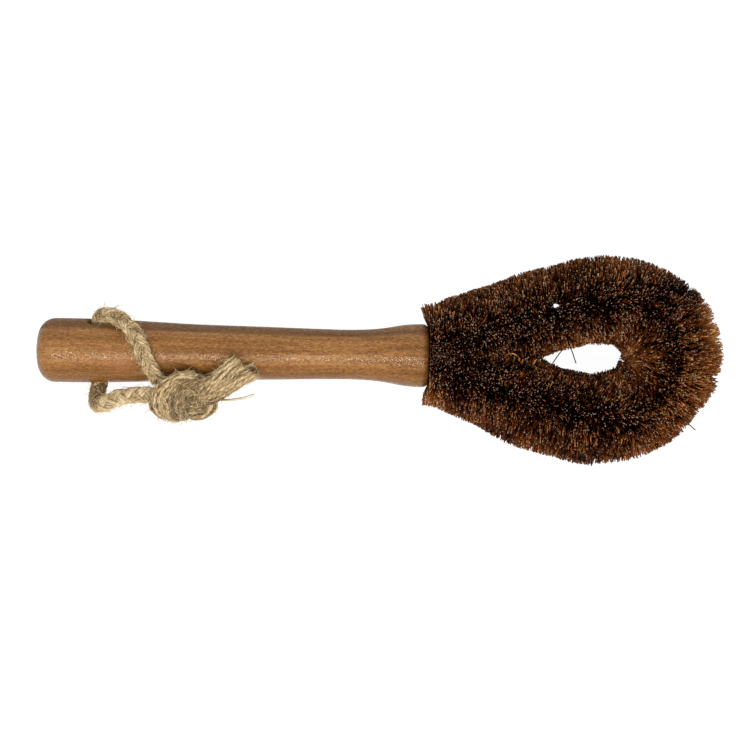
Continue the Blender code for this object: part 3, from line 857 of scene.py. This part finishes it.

# %% [markdown]
# ## Beech
#
# Steamed beech is a warm reddish tan.  Its long grain shows as thin dark lines, and its
# rays and pores as short light and dark dashes.  The oiled surface keeps the pores open,
# so the light of the lamp breaks up on it.  One long side is painted darker and greyer,
# as painted shade, and the other is made more orange.  A picture of wood could give all
# this, but noise stretched along the handle shows no seam and goes round every side.

# %% Beech finish
def beech_finish():
    beech = Finish("beech", {"Specular IOR Level": 0.28})
    place = beech.place()
    x, y, z = beech.split(place)
    long_grain = beech.noise(place, 620, 4, (26, 1, 1))
    bands = beech.noise(place, 150, 3, (14, 1, 1))
    dashes = beech.noise(place, 2400, 3, (3.6, 1, 1))
    lines = beech.noise(place, 1700, 3, (26, 1, 1))
    pores = beech.noise(place, 2300, 3, (1.8, 1, 1))
    glints = beech.noise(place, 1750, 1, (1.3, 1, 1))
    tone = long_grain * 0.70 + bands * 0.50 + dashes * 1.10 + pores * 0.80 - 1.05
    colour = beech.ramp(tone, ((0.22, (0.143, 0.055, 0.014)), (0.50, (0.253, 0.110, 0.030)),
                               (0.78, (0.390, 0.195, 0.068))))
    colour = beech.mix(lines.step(0.60, 0.70) * 0.52, colour, (0.120, 0.044, 0.014))
    # The grip is a trace paler, with a reddish spot where the cord rubs
    butt_side = 1 - x.step(BUTT_X + 30 * MM, BUTT_X + 75 * MM)
    colour = beech.mix(butt_side * 0.04, colour, (0.400, 0.195, 0.060))
    spot = beech.node("VectorMath", {"operation": "DISTANCE"},
                      {0: place, 1: beside_handle(30.5, -4.5, 10.5)}, output=1)
    colour = beech.mix((1 - spot.step(1.0 * MM, 7.5 * MM)) * 0.28, colour,
                       (0.430, 0.170, 0.085))
    # Painted shade on one long side, with a darker line at its border, and a darker, more
    # orange other side, by the angle round the axis from straight up
    radius = beech.node("Math", {"operation": "SQRT"}, {0: y ** 2 + (z - AXIS_HEIGHT) ** 2})
    long_sides = radius.step(3.0 * MM, 8.6 * MM)
    angle = beech.node("Math", {"operation": "ARCTAN2"}, {0: y, 1: z - AXIS_HEIGHT})
    wobble = (bands - 0.5) * 0.14 + angle
    shade_side = wobble.step(0.71, 0.90) * (1 - wobble.step(1.5, 2.3)) * long_sides
    shade_border = wobble.step(0.72, 0.80) * (1 - wobble.step(0.84, 1.10)) * long_sides
    orange_side = (0 - angle).step(0.28, 0.95) * (1 - (0 - angle).step(1.5, 2.4)) * long_sides
    collar_side = x.step(MOUTH_X - 22.0 * MM, MOUTH_X - 4.0 * MM)
    orange = beech.mix(1.0, colour, (0.74, 0.67, 0.42), blend="MULTIPLY")
    colour = beech.mix(orange_side, colour, orange)
    # Painted shade: the colour of the shaded side, darker and greyer, and weaker near the
    # collar
    grey = beech.mix(1.0, colour, (0.60, 0.55, 0.32), blend="MULTIPLY")
    colour = beech.mix(shade_side * (1.0 - collar_side * 0.65), colour, grey)
    colour = beech.mix(shade_border * 0.35, colour, (0.070, 0.028, 0.010))
    # The inside of the holes is painted dark, as painted shade
    inside = 1 - radius.step(7.4 * MM, 8.4 * MM)
    ends = x.step(BUTT_X + 0.2 * MM, BUTT_X + 0.5 * MM)
    colour = beech.mix(inside * ends * 0.6, colour, (0.10, 0.045, 0.02))
    beech.feed(beech.shader, {
        "Base Color": colour,
        "Roughness": 0.10 + glints.step(0.45, 0.56) * 0.40 + shade_side * 0.30,
        "Normal": beech.bump(glints * 0.80 + pores * 0.20, 0.15 * MM)})
    return beech


beech = beech_finish()
beech.wear(handle)
print("beech on the handle")

# %% [markdown]
# ## Twisted wires
#
# The two wires are the CAD model's own.  They are galvanised steel, dulled by use, and
# show only deep between the fibres, so they keep their shape and get a finish.

# %% Wire finish
def wire_finish():
    wire = Finish("galvanised_wire", {"Metallic": 1.0})
    spots = wire.noise(wire.place(), 900, 3)
    wire.feed(wire.shader, {
        "Base Color": wire.ramp(spots, ((0.3, (0.50, 0.49, 0.48)), (0.7, (0.85, 0.84, 0.83)))),
        "Roughness": 0.25 + spots * 0.3})
    return wire


wire = wire_finish()
for name in ("stem_wire_a", "stem_wire_b"):
    wire.wear(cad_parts[name])
print("wire finish set")

# %% [markdown]
# ## The stem that carries the fibre
#
# The fibres were laid between two straight wires, which were twisted and then bent into
# the loop.  The script grows them in the same order: round a straight stem first, then
# bent with it.  Half of the loop is a line whose heading changes evenly along each bend,
# so the heading is a short table and the line its running sum.

# %% The bent stem as tables
HALF_LOOP = 104.741 * MM
ARM_OFFSET = 2.9 * MM
LEAN_LENGTH = 40 * MM
BRUSH_RADIUS = 17.2 * MM
# Distance along the stem in millimetres, and its heading there in degrees
HEADINGS = ((0, 0), (5.564, 21.25), (68.409, 9.60), (104.741, -90.0), (116.0, -120.8))
STEM_START, STEM_END, STEM_STEP = -20 * MM, 116 * MM, 0.1 * MM

stem_distance = np.arange(STEM_START, STEM_END, STEM_STEP)
heading_places, heading_angles = np.array(HEADINGS).T
stem_heading = np.interp(stem_distance, heading_places * MM, np.radians(heading_angles))
stem_x = np.cumsum(np.cos(stem_heading)) * STEM_STEP
stem_y = np.cumsum(np.sin(stem_heading)) * STEM_STEP
stem_x += MOUTH_X - np.interp(0, stem_distance, stem_x)
stem_y += ARM_OFFSET - np.interp(0, stem_distance, stem_y)
stem_lean = stem_heading * smooth_share(stem_distance / LEAN_LENGTH)


def stem_value(table, distance):
    """What a table of the stem says at a distance along it."""
    return np.interp(distance, stem_distance, table)


def bend_round_loop(distance, across, up, side):
    """Carry points of the straight brush to their places on the bent loop."""
    lean = stem_value(stem_lean, distance)
    return np.stack([stem_value(stem_x, distance) - across * np.sin(lean),
                     side * (stem_value(stem_y, distance) + across * np.cos(lean)),
                     AXIS_HEIGHT + up], axis=-1)


print("far point of the stem:", np.round(bend_round_loop(HALF_LOOP, 0, 0, 1) / MM, 2), "mm")

# %% [markdown]
# ## How far the fibres reach
#
# The brush was trimmed with shears after it was bent, so its outline isn't quite even.
# The shares below give the reach outwards and inwards along each arm, from the handle
# to the far point of the loop.

# %% Reach of the fibres
REACH = {
    "left": ((0.94, 0.99, 0.95, 0.94, 0.92, 0.95, 0.99, 1.00, 1.01, 1.04, 1.02, 0.96,
              0.93, 0.93, 1.00, 0.99, 0.985),
             (1.00, 1.00, 1.00, 1.00, 1.06, 1.12, 0.90, 0.83, 0.84, 0.81, 0.90, 1.03,
              1.06, 1.11, 1.15, 1.13, 1.18)),
    "right": ((0.90, 0.94, 0.94, 0.93, 0.98, 1.05, 1.13, 1.12, 1.12, 1.17, 1.12, 0.98,
               0.89, 0.84, 0.80, 0.88, 0.985),
              (1.00, 1.00, 1.00, 1.00, 1.06, 1.12, 0.86, 0.77, 0.79, 0.79, 0.97, 1.11,
               1.20, 1.14, 1.10, 1.09, 1.18)),
}


def reach_of(side_name, distance, turn):
    """Reach of the fibres for a direction round the stem; 0 points outwards."""
    outward, inward = (np.interp(distance / HALF_LOOP, np.linspace(0, 1, len(shares)), shares)
                       for shares in REACH[side_name])
    sideways = np.cos(turn)
    share = np.where(sideways > 0, outward, inward)
    return BRUSH_RADIUS * (1 + (share - 1) * sideways ** 2)


print("reach tables for", ", ".join(REACH))

# %% [markdown]
# ## Noise over the brush
#
# Fibres that stand close together lean, curl and darken alike.  One random number for
# each fibre can't give that.  So the stem is unrolled into a sheet of cells, along it
# and round it, and every cell has a number of its own.  Tufts and clumps use the cells
# as they are, and the softer changes blend from cell to cell.

# %% Noise along and round an arm
# The cells start this far before the stem, and cover this much of it
CELLS_START, CELLS_LENGTH = 25 * MM, 160 * MM
TUFT_LENGTH, TUFT_COLUMNS = 1.2 * MM, 84
CLUMP_LENGTH, CLUMP_COLUMNS = 4.2 * MM, 28
# Ranges of each tuft's place along its cell and round it, and of its pull on fibres
TUFT_RANGES = ((0.1, 0.9), (0.1, 0.9), (0.05, 0.50))
SOFT_CELLS = {"lean": (7 * MM, 12), "swirl": (8 * MM, 12), "trim": (5 * MM, 16),
              "tone": (6 * MM, 14)}


def row_count(cell):
    """How many rows of cells of one length an arm needs."""
    return int(CELLS_LENGTH / cell) + 3


def cell_of(distance, turn, cell, columns):
    """Row and column of places on an arm, with their fractions."""
    return np.array([(distance + CELLS_START) / cell, (turn / math.tau) % 1 * columns])


def soft_field(chance, cell, columns):
    """Smooth noise from -1 to 1 over an arm, as a function of distance and turn."""
    table = chance.uniform(-1, 1, (row_count(cell), columns))

    def value(distance, turn):
        place = cell_of(distance, turn, cell, columns)
        row, column = np.floor(place).astype(int)
        a, b = smooth_share(place - (row, column))
        left, right = column % columns, (column + 1) % columns
        here, ahead = (table[line, left] * (1 - b) + table[line, right] * b
                       for line in (row, row + 1))
        return here * (1 - a) + ahead * a

    return value


def side_fields(seed):
    """Noise over one arm, shared by its slices so that no seam shows."""
    chance = np.random.default_rng(seed)
    fields = {"tuft": [chance.uniform(low, high, (row_count(TUFT_LENGTH), TUFT_COLUMNS))
                       for low, high in TUFT_RANGES],
              "clump": chance.uniform(-1, 1, (row_count(CLUMP_LENGTH), CLUMP_COLUMNS))}
    for number, (name, cells) in enumerate(SOFT_CELLS.items(), 1):
        fields[name] = soft_field(np.random.default_rng(1000 * seed + number), *cells)
    return fields


print("soft fields:", ", ".join(SOFT_CELLS))

# %% [markdown]
# ## Where the fibres point
#
# The fibres start at the stem and point all round it.  Blender's hair could grow them
# too, but here numpy moves all fibres of a slice at once and knows the bend of the stem.
# Between the arms, the fibres of both sides meet and push each other up and down.

# %% Start the fibres
FIBRES_PER_METRE = 290_000
FAR_START, FAR_LENGTH = 62 * MM, 38 * MM
# How far past the middle fibres may reach, how much a full crowd presses on them, and
# the turns towards the other arm between which a crowd builds up
PAST_MIDDLE, PRESS = 1.0 * MM, 0.8
CROWD_START, CROWD_RANGE = -0.5, 0.6


def start_fibres(side_name, start, end, chance):
    """The fibres of one slice; every list has a value for each."""
    count = int((end - start) * FIBRES_PER_METRE)
    root = chance.uniform(start, end, count)
    turn = chance.uniform(0, math.tau, count)
    far_end = smooth_share((root - FAR_START) / FAR_LENGTH)
    far_inside = far_end * (np.cos(turn) < 0)
    return SimpleNamespace(side=side_name, count=count, root=root, turn=turn,
                           far_end=far_end, far_inside=far_inside)


def push_apart(fibres):
    """Turn fibres that point at the other arm up or down along the middle."""
    room = stem_value(stem_y, fibres.root) / np.cos(stem_value(stem_lean, fibres.root))
    inward = -np.cos(fibres.turn)
    reach = reach_of(fibres.side, fibres.root, fibres.turn)
    most = np.arcsin(np.clip((room + PAST_MIDDLE) / reach, 0, 1))
    lean_in = np.arcsin(np.clip(inward, 0, 1))
    pushed = lean_in * (1 - PRESS * (1 - most / (math.pi / 2)))
    upward = np.sign(np.sin(fibres.turn))
    fibres.tip_turn = np.where(inward > 0, upward * (math.pi / 2 + pushed), fibres.turn)
    fibres.crowded = smooth_share((lean_in - most - CROWD_START) / CROWD_RANGE) * (inward > 0)


print("fibres to grow:", int(2 * HALF_LOOP * FIBRES_PER_METRE))

# %% [markdown]
# Then neighbours lean together into small tufts, and at the far end into larger clumps.
# Two pulls on the tips do this: one towards a point in the tuft's cell, and one towards
# the middle of the clump's.  At the handle the fibres lean back over its shoulder.

# %% Lean the fibres together
CLUMP_PULL, LESS_PULL_INSIDE, STAGGER = 0.60, 0.42, 0.3
TIP_LEAN, TIP_SWIRL = 1.6 * MM, 0.10
TIP_SPREAD, TURN_SPREAD, WILDER_INSIDE = 0.9 * MM, 0.06, 2.2
NEAR_HANDLE, CALM_AT_HANDLE = 6 * MM, 0.4
SHOULDER_LEAN, SHOULDER_FADE = 2.8 * MM, 2.5 * MM


def turn_between(first, second):
    """The turn from one angle to another, the short way round."""
    return (second - first + math.pi) % math.tau - math.pi


def draw_towards(fibres, distance, turn, pull):
    """Pull the tips towards places on the arm."""
    fibres.tip = fibres.tip + (distance - fibres.tip) * pull
    fibres.tip_turn = fibres.tip_turn + turn_between(fibres.tip_turn, turn) * pull


def lean_together(fibres, fields, chance):
    """Gather the tips into tufts and clumps, and spread them again a little."""
    fibres.tip = fibres.root
    cells = cell_of(fibres.tip, fibres.tip_turn, TUFT_LENGTH, TUFT_COLUMNS)
    row, column = np.floor(cells).astype(int)
    along, around, pull = (table[row, column] for table in fields["tuft"])
    draw_towards(fibres, (row + along) * TUFT_LENGTH - CELLS_START,
                 (column + around) / TUFT_COLUMNS * math.tau, pull)
    cells = cell_of(fibres.tip, fibres.tip_turn, CLUMP_LENGTH, CLUMP_COLUMNS)
    row, column = np.floor(cells).astype(int)
    fibres.clump = fields["clump"][row, column]
    draw_towards(fibres, (row + 0.5) * CLUMP_LENGTH - CELLS_START,
                 (column + 0.5 + STAGGER * (row % 2)) / CLUMP_COLUMNS * math.tau,
                 fibres.far_end * CLUMP_PULL - fibres.far_inside * LESS_PULL_INSIDE)
    spread = chance.normal(0, TIP_SPREAD, fibres.count) * (
        CALM_AT_HANDLE + (1 - CALM_AT_HANDLE) * smooth_share(fibres.root / NEAR_HANDLE))
    fibres.tip = fibres.tip + fields["lean"](fibres.root, fibres.turn) * TIP_LEAN + spread
    spread = chance.normal(0, TURN_SPREAD, fibres.count) * (
        1 + WILDER_INSIDE * fibres.far_inside)
    swirl = fields["swirl"](fibres.root, fibres.turn) * TIP_SWIRL
    fibres.tip_turn = fibres.tip_turn + swirl + spread
    outward = np.maximum(np.cos(fibres.tip_turn), 0)
    shoulder = np.exp(-fibres.root / SHOULDER_FADE)
    fibres.tip = fibres.tip - shoulder * SHOULDER_LEAN * outward ** 2


print("tufts on an arm:", row_count(TUFT_LENGTH) * TUFT_COLUMNS)

# %% [markdown]
# ## The lines of the fibres
#
# The shears leave most fibres nearly as long as the reach tables say, but some broke off
# short, and more did so where they are crowded.  Each fibre bows a little on its way.
# It may not go through the floor or into the handle, and hardly past the middle.

# %% Draw the lines
ROOT_RADIUS = 2.3 * MM
SHORT_SHARE, SHORTER_IN_CROWD, SHORTER_INSIDE = 0.10, 0.30, 0.25
SHORT_LENGTHS, TRIM_SPREAD, TRIM_WAVES, CLUMP_STEPS = (0.60, 0.92), 0.15, 0.010, 0.030
BOW, SWAY, ACROSS_MIDDLE, TURN_EARLY = 0.28 * MM, 0.022, 3.4 * MM, 1.15
SHOULDER, EDGE_GAP = 12.1 * MM, 0.2 * MM
# Fibres rest on the floor at a random height in this range, in millimetres
FLOOR_HEIGHTS = (0.05, 0.5)


def trim(fibres, fields, chance):
    """How far each fibre reaches."""
    short_share = (SHORT_SHARE + SHORTER_IN_CROWD * fibres.crowded
                   + SHORTER_INSIDE * fibres.far_inside)
    short = chance.uniform(0, 1, fibres.count) < short_share
    share = np.where(short, chance.uniform(*SHORT_LENGTHS, fibres.count),
                     1 - TRIM_SPREAD * chance.uniform(0, 1, fibres.count) ** 2)
    share = (share + TRIM_WAVES * fields["trim"](fibres.root, fibres.tip_turn)
             + CLUMP_STEPS * fibres.far_end * fibres.clump)
    fibres.reach = reach_of(fibres.side, fibres.root, fibres.tip_turn) * share


def draw_lines(fibres, chance):
    """The fibres' centrelines, with a point at each of the pattern's rings."""
    bow = chance.normal(0, BOW, fibres.count)
    sway = chance.normal(0, SWAY, fibres.count)
    near_middle = chance.uniform(-ACROSS_MIDDLE, 0.0, fibres.count)
    lines = []
    for share in HEIGHTS:
        hump = share * (1 - share) * 4
        distance = fibres.root + (fibres.tip - fibres.root) * share + bow * hump
        way = smooth_share(share * TURN_EARLY)
        turned = turn_between(fibres.turn, fibres.tip_turn) * way
        direction = fibres.turn + turned + sway * hump
        out = ROOT_RADIUS + (fibres.reach - ROOT_RADIUS) * share
        place = bend_round_loop(distance, out * np.cos(direction), out * np.sin(direction), 1)
        place[:, 1] = np.maximum(place[:, 1], near_middle * share)
        over = np.maximum(place[:, 1] - SHOULDER, 0)
        place[:, 0] = np.maximum(place[:, 0], MOUTH_X + EDGE_GAP - over)
        floor = chance.uniform(*FLOOR_HEIGHTS, fibres.count) * MM
        place[:, 2] = np.maximum(place[:, 2], floor)
        place[:, 1] *= 1 if fibres.side == "left" else -1
        lines.append(place)
    fibres.lines = np.stack(lines, axis=1)


print("points on a fibre:", len(HEIGHTS))

# %% [markdown]
# ## A bald spot
#
# Beside the stem there is a small spot where light comes through from below.  Deleting
# fibres would leave a hole with a hard edge, so the fibres bow round it, and only those
# that still cross it go.

# %% Bow round the bald spot
# The spot in plan, the stretch that makes it an ellipse, and its slant with height
SEE_THROUGH = np.array((63.8, 18.4)) * MM
SEE_THROUGH_SHAPE = np.array(((0.88, 0.24), (0.24, 1.06)))
SEE_THROUGH_SLANT = np.array((-0.107, -0.042))
SEE_THROUGH_RADIUS = 1.45 * MM
PUSHES, PUSH_PAST, KEPT_CLEAR, FINE_POINTS = 3, 1.3, 0.85, 21


def part_round(lines):
    """Make fibres bow round the bald spot, and say which of them stay clear of it."""
    fine = np.linspace(0, 1, FINE_POINTS)
    low = np.clip(np.searchsorted(HEIGHTS, fine, side="right") - 1, 0, len(HEIGHTS) - 2)
    part = ((fine - HEIGHTS[low]) / (HEIGHTS[low + 1] - HEIGHTS[low]))[None, :, None]

    def from_spot():
        dense = lines[:, low] * (1 - part) + lines[:, low + 1] * part
        spot = SEE_THROUGH + (dense[..., 2:] - AXIS_HEIGHT) * SEE_THROUGH_SLANT
        away = dense[..., :2] - spot
        return away, np.linalg.norm(away @ SEE_THROUGH_SHAPE, axis=2)

    for _ in range(PUSHES):
        away, distance = from_spot()
        rows = np.nonzero(distance.min(axis=1) < SEE_THROUGH_RADIUS)[0]
        step = distance.argmin(axis=1)[rows]
        push = unit(away[rows, step] + TINY) * (
            SEE_THROUGH_RADIUS - distance[rows, step])[:, None]
        ring = np.clip(np.abs(HEIGHTS[None] - fine[step][:, None]).argmin(axis=1),
                       1, len(HEIGHTS) - 2)
        lines[rows, ring, :2] += push * PUSH_PAST
    return from_spot()[1].min(axis=1) > KEPT_CLEAR * SEE_THROUGH_RADIUS


print("bald spot:", round(2 * SEE_THROUGH_RADIUS / MM, 1), "mm across")

# %% [markdown]
# ## Kind and tone of a fibre
#
# Four kinds of fibre share one map: brown, grey and stained, red, and golden.  The kind
# picks one quarter of the map's width, and the tone from dark to light is the place in
# that quarter.  Fibres at the far end are lighter, and those that stand up or are
# crowded are painted darker, as painted shade.

# %% Kinds and tones
KINDS = 4
MIDDLE_TONE, TONE_WAVES, TONE_SPREAD, CALMER_FAR = 0.385, 0.12, 0.16, 0.5
# Some fibres are brighter than the rest, fewer of them on the near side
BRIGHT_SHARE, BRIGHTER, LESS_BRIGHT_NEAR = 0.16, (0.20, 0.55), 0.4
FAR_TONE, CLUMP_TONE, INSIDE_SHADE = 0.255, 0.11, 0.17
CROWD_SHADE, UPRIGHT_SHADE, HANDLE_TONE = 0.10, 0.15, 0.06
# Painted light: near the handle the near side's fibres are lighter, as if lit from behind.
# Further along, that side is painted darker as painted shade, and the far side is a little
# lighter.
NEAR_SIDE_BACKLIGHT, NEAR_SIDE_FADE, NEAR_SIDE_SHADE = 0.20, 14 * MM, 0.08
FAR_SIDE_TONE = 0.04
# One lock near the far end is stained much darker than its neighbours
DARK_TUFT, DARK_RADIUS, DARK_SHADE = np.array((107.0, 27.0)) * MM, 8.0 * MM, 0.38
LEAST_TONE, MOST_TONE = 0.03, 0.97
# Shares of the kinds: stained and golden ones first, then red ones, and the rest brown
STAINED, STAINED_UPRIGHT, CLEANER_FAR, STAINED_DARK = 0.14, 0.36, 0.7, 0.5
GOLDEN, GOLDEN_OUT, RED_FROM = 0.05, 0.10, 0.66


def colour_fibres(fibres, fields, chance):
    """Each fibre's kind and tone, as its place across the map."""
    upright = 1 - np.cos(fibres.tip_turn) ** 2
    outward = np.maximum(np.cos(fibres.tip_turn), 0)
    near_side = outward * (fibres.side == "right")
    far_side = outward * (fibres.side == "left")
    uneven = chance.normal(0, TONE_SPREAD, fibres.count) * (1 - CALMER_FAR * fibres.far_end)
    bright = chance.uniform(*BRIGHTER, fibres.count) * (
        chance.uniform(0, 1, fibres.count) < BRIGHT_SHARE) * (1 - LESS_BRIGHT_NEAR * near_side)
    waves = TONE_WAVES * fields["tone"](fibres.root, fibres.tip_turn)
    at_handle = HANDLE_TONE * np.exp(-fibres.root / NEAR_HANDLE)
    at_far_end = (FAR_TONE + CLUMP_TONE * fibres.clump) * fibres.far_end
    tones = (MIDDLE_TONE + waves + uneven + bright + at_handle + at_far_end
             - INSIDE_SHADE * fibres.far_inside - CROWD_SHADE * fibres.crowded
             - UPRIGHT_SHADE * upright + FAR_SIDE_TONE * far_side
             + near_side * (NEAR_SIDE_BACKLIGHT * np.exp(-fibres.root / NEAR_SIDE_FADE)
                            - NEAR_SIDE_SHADE))
    from_dark = np.sum((fibres.lines[:, -1, :2] - DARK_TUFT) ** 2, axis=1)
    dark = np.exp(-from_dark / (2 * DARK_RADIUS ** 2))
    tones = np.clip(tones - DARK_SHADE * dark, LEAST_TONE, MOST_TONE)
    pick = chance.uniform(0, 1, fibres.count)
    stained = ((STAINED + STAINED_UPRIGHT * upright) * (1 - CLEANER_FAR * fibres.far_end)
               + STAINED_DARK * dark)
    golden = GOLDEN + GOLDEN_OUT * np.maximum(fibres.far_end, 1 - upright)
    kinds = np.select([pick < stained, pick > 1 - golden, pick > RED_FROM], [1, 3, 2], 0)
    fibres.tones = (kinds + tones) / KINDS


print("kinds of fibre:", KINDS)

# %% [markdown]
# ## The brush
#
# Each arm is grown in nine slices, one for each fibre node of the CAD model.  A slice
# has its own random numbers and shares its arm's noise, so it comes out the same every
# time and joins its neighbours.

# %% Grow the brush
FIBRE_RADIUS = 0.195 * MM
SLICES_PER_SIDE = 9

fibre_pieces = []
pitch = HALF_LOOP / SLICES_PER_SIDE
for seed, side_name in enumerate(REACH, 1):
    fields = side_fields(seed)
    for index in range(SLICES_PER_SIDE):
        chance = np.random.default_rng(100 * seed + index)
        grown = start_fibres(side_name, pitch * index, pitch * (index + 1), chance)
        push_apart(grown)
        lean_together(grown, fields, chance)
        trim(grown, fields, chance)
        draw_lines(grown, chance)
        colour_fibres(grown, fields, chance)
        clear = part_round(grown.lines)
        lines, tones = grown.lines[clear], grown.tones[clear]
        thick = FIBRE_RADIUS * chance.uniform(*THIN_TO_THICK, len(lines))
        piece = set_down(f"fibres_{side_name}_{index + 1}", lines,
                         np.repeat(thick[:, None], len(HEIGHTS), axis=1),
                         chance.uniform(0, math.tau, len(lines)), tones)
        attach(piece, "root")
        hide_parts(f"fibre_{side_name}_{index + 1}")
        fibre_pieces.append(piece)
print("fibres:", sum(len(p.data.polygons) for p in fibre_pieces) // len(TRIANGLES))

# %% [markdown]
# A few loose fibres hang in the loop and curl on top of the brush.  Each row is a line
# of four places, in millimetres, and the longest fibre takes two rows.

# %% Stray fibres
STRAYS = (
    ((65.2, 2.8, 22.0), (63.6, 0.8, 24.0), (62.2, -1.3, 24.0), (61.0, -3.6, 21.0)),
    ((66.2, 9.2, 22.0), (67.2, 5.4, 25.0), (68.6, 1.6, 26.0), (70.1, -2.0, 24.0)),
    ((43.4, -0.6, 33.2), (44.7, 0.8, 33.9), (46.4, 1.1, 34.1), (47.9, 0.5, 33.9)),
    ((47.9, 0.5, 33.9), (48.5, -0.1, 33.7), (48.8, -0.8, 33.4), (48.9, -1.5, 32.8)),
    ((110.2, -20.8, 17.0), (111.4, -22.3, 17.2), (112.9, -23.9, 17.0), (115.0, -25.6, 16.2)),
    ((33.6, 10.0, 33.8), (34.8, 11.0, 34.4), (36.0, 12.2, 34.4), (37.1, 14.6, 33.6)),
)
STRAY_TONES = np.array((0.62, 0.60, 0.94, 0.94, 0.12, 0.66))
STRAY_RADIUS = 0.23 * MM

strays = set_down("fibre_strays", np.array(STRAYS) * MM,
                  np.full((len(STRAYS), len(HEIGHTS)), STRAY_RADIUS),
                  np.linspace(0, 1, len(STRAYS)), STRAY_TONES)
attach(strays, "root")
fibre_pieces.append(strays)
print("lines of loose fibres:", len(STRAYS))

# %% [markdown]
# ## Palm fibre
#
# Palm fibre is dark reddish brown, and golden at the cut tips.  Towards its root each
# fibre is painted almost black, as painted shade deep in the brush.  The cut ends are
# pale and dull, partly from their own colour and partly from a painted highlight.  Four
# materials could paint the four kinds, but the map tells them apart, so one material
# with a ramp for the body, one for the gold and one for the tint does it.

# %% Fibre finish
def fibre_finish():
    fibre = Finish("palm_fibre", {"Roughness": 0.5, "Specular IOR Level": 0.05})
    across, along, _ = fibre.split(fibre.node("UVMap", {"uv_map": FIBRE_MAP}))
    tone = fibre.node("Math", {"operation": "FRACT"}, {0: across * KINDS})
    body = fibre.ramp(tone, ((0.05, (0.003, 0.0005, 0.0001)), (0.30, (0.0105, 0.0019, 0.0004)),
                             (0.55, (0.037, 0.0088, 0.0021)), (0.95, (0.225, 0.115, 0.075))))
    golden = fibre.ramp(tone, ((0.05, (0.034, 0.004, 0.0004)), (0.35, (0.082, 0.019, 0.0022)),
                               (0.60, (0.195, 0.062, 0.008)), (0.90, (0.520, 0.270, 0.098))))
    tint = fibre.ramp(across, ((0.0, (1.0, 1.0, 1.0)), (0.25, (0.60, 0.70, 1.00)),
                               (0.50, (1.10, 0.82, 0.72)), (0.75, (1.60, 1.35, 0.95))),
                      blending="CONSTANT")
    # Painted shade: each fibre goes almost black towards its root, deep in the brush
    root = fibre.mix((1 - along.step(0.0, 0.86)) * (1 - tone * 0.55), body,
                     (0.010, 0.0014, 0.0003))
    colour = fibre.mix((along + tone * 0.70).step(1.08, 1.20) * 0.9, root, golden)
    colour = fibre.mix(1.0, colour, tint, blend="MULTIPLY")
    # The cut ends go pale, partly from their own colour and partly from a painted highlight,
    # most on the grey and stained kind
    stained = across.step(0.245, 0.255) * (1 - across.step(0.495, 0.505))
    pale = tone.step(0.45, 0.85) * 0.30 + stained * tone.step(0.15, 0.50) * 0.9
    colour = fibre.mix(along.step(0.975, 1.0) * pale, colour, (0.46, 0.325, 0.255))
    fibre.feed(fibre.shader, {"Base Color": colour, "Roughness": 0.60 - along * 0.2})
    return fibre


fibre = fibre_finish()
for piece in fibre_pieces:
    fibre.wear(piece)
print("palm fibre on", len(fibre_pieces), "pieces")

# %% [markdown]
# ## Floor and light
#
# The picture has a white ground with hardly any shadow.  A white floor would show one,
# so this floor is dark but glows white, like a light table.

# %% Floor
FLOOR_REACH, FLOOR_DROP = 1.5, 0.1 * MM
FLOOR_GLOW = 0.968

floor_shape = bmesh.new()
bmesh.ops.create_grid(floor_shape, x_segments=2, y_segments=2, size=FLOOR_REACH,
                      matrix=Matrix.Translation((0, 0, -FLOOR_DROP)))
floor = as_piece("floor", floor_shape)
ground = Finish("pale_ground", {"Roughness": 0.9, "Emission Color": (1, 1, 1, 1),
                                "Emission Strength": FLOOR_GLOW})
ground.feed(ground.shader, {"Base Color": ground.mix(
    ground.noise(ground.place(), 4), (0.10, 0.10, 0.10), (0.11, 0.11, 0.11))})
ground.wear(floor)
print("floor ready")

# %% [markdown]
# A long narrow lamp hangs nearly overhead, a little to the near side and slightly
# turned, and draws the bright line along the handle.  A soft sky fills the rest.

# %% Lights
SKY_STRENGTH = 0.72
LAMP_TILT, LAMP_TURN = math.radians(24), math.radians(-18)
LAMP_DISTANCE, LAMP_SIZE, LAMP_POWER = 0.9, (0.9, 0.036), 6.3
LAMP_COLOUR = (1.0, 0.93, 0.80)

world = bpy.data.worlds.new("soft_sky")
world.use_nodes = True
sky = world.node_tree.nodes["Background"].inputs
sky["Color"].default_value = (1.0, 1.0, 1.0, 1)
sky["Strength"].default_value = SKY_STRENGTH
bpy.context.scene.world = world

lamp_data = bpy.data.lights.new("long_lamp", "AREA")
lamp_data.shape, lamp_data.size, lamp_data.size_y = "RECTANGLE", *LAMP_SIZE
lamp_data.energy, lamp_data.color = LAMP_POWER, LAMP_COLOUR
lamp = bpy.data.objects.new("long_lamp", lamp_data)
toward_lamp = Vector((0, -math.sin(LAMP_TILT), math.cos(LAMP_TILT)))
lamp.location = Vector((0, 0, AXIS_HEIGHT)) + toward_lamp * LAMP_DISTANCE
lamp.rotation_mode = "QUATERNION"
lamp.rotation_quaternion = (Quaternion(toward_lamp, LAMP_TURN)
                            @ toward_lamp.to_track_quat("Z", "Y"))
bpy.context.scene.collection.objects.link(lamp)
print("lights ready")
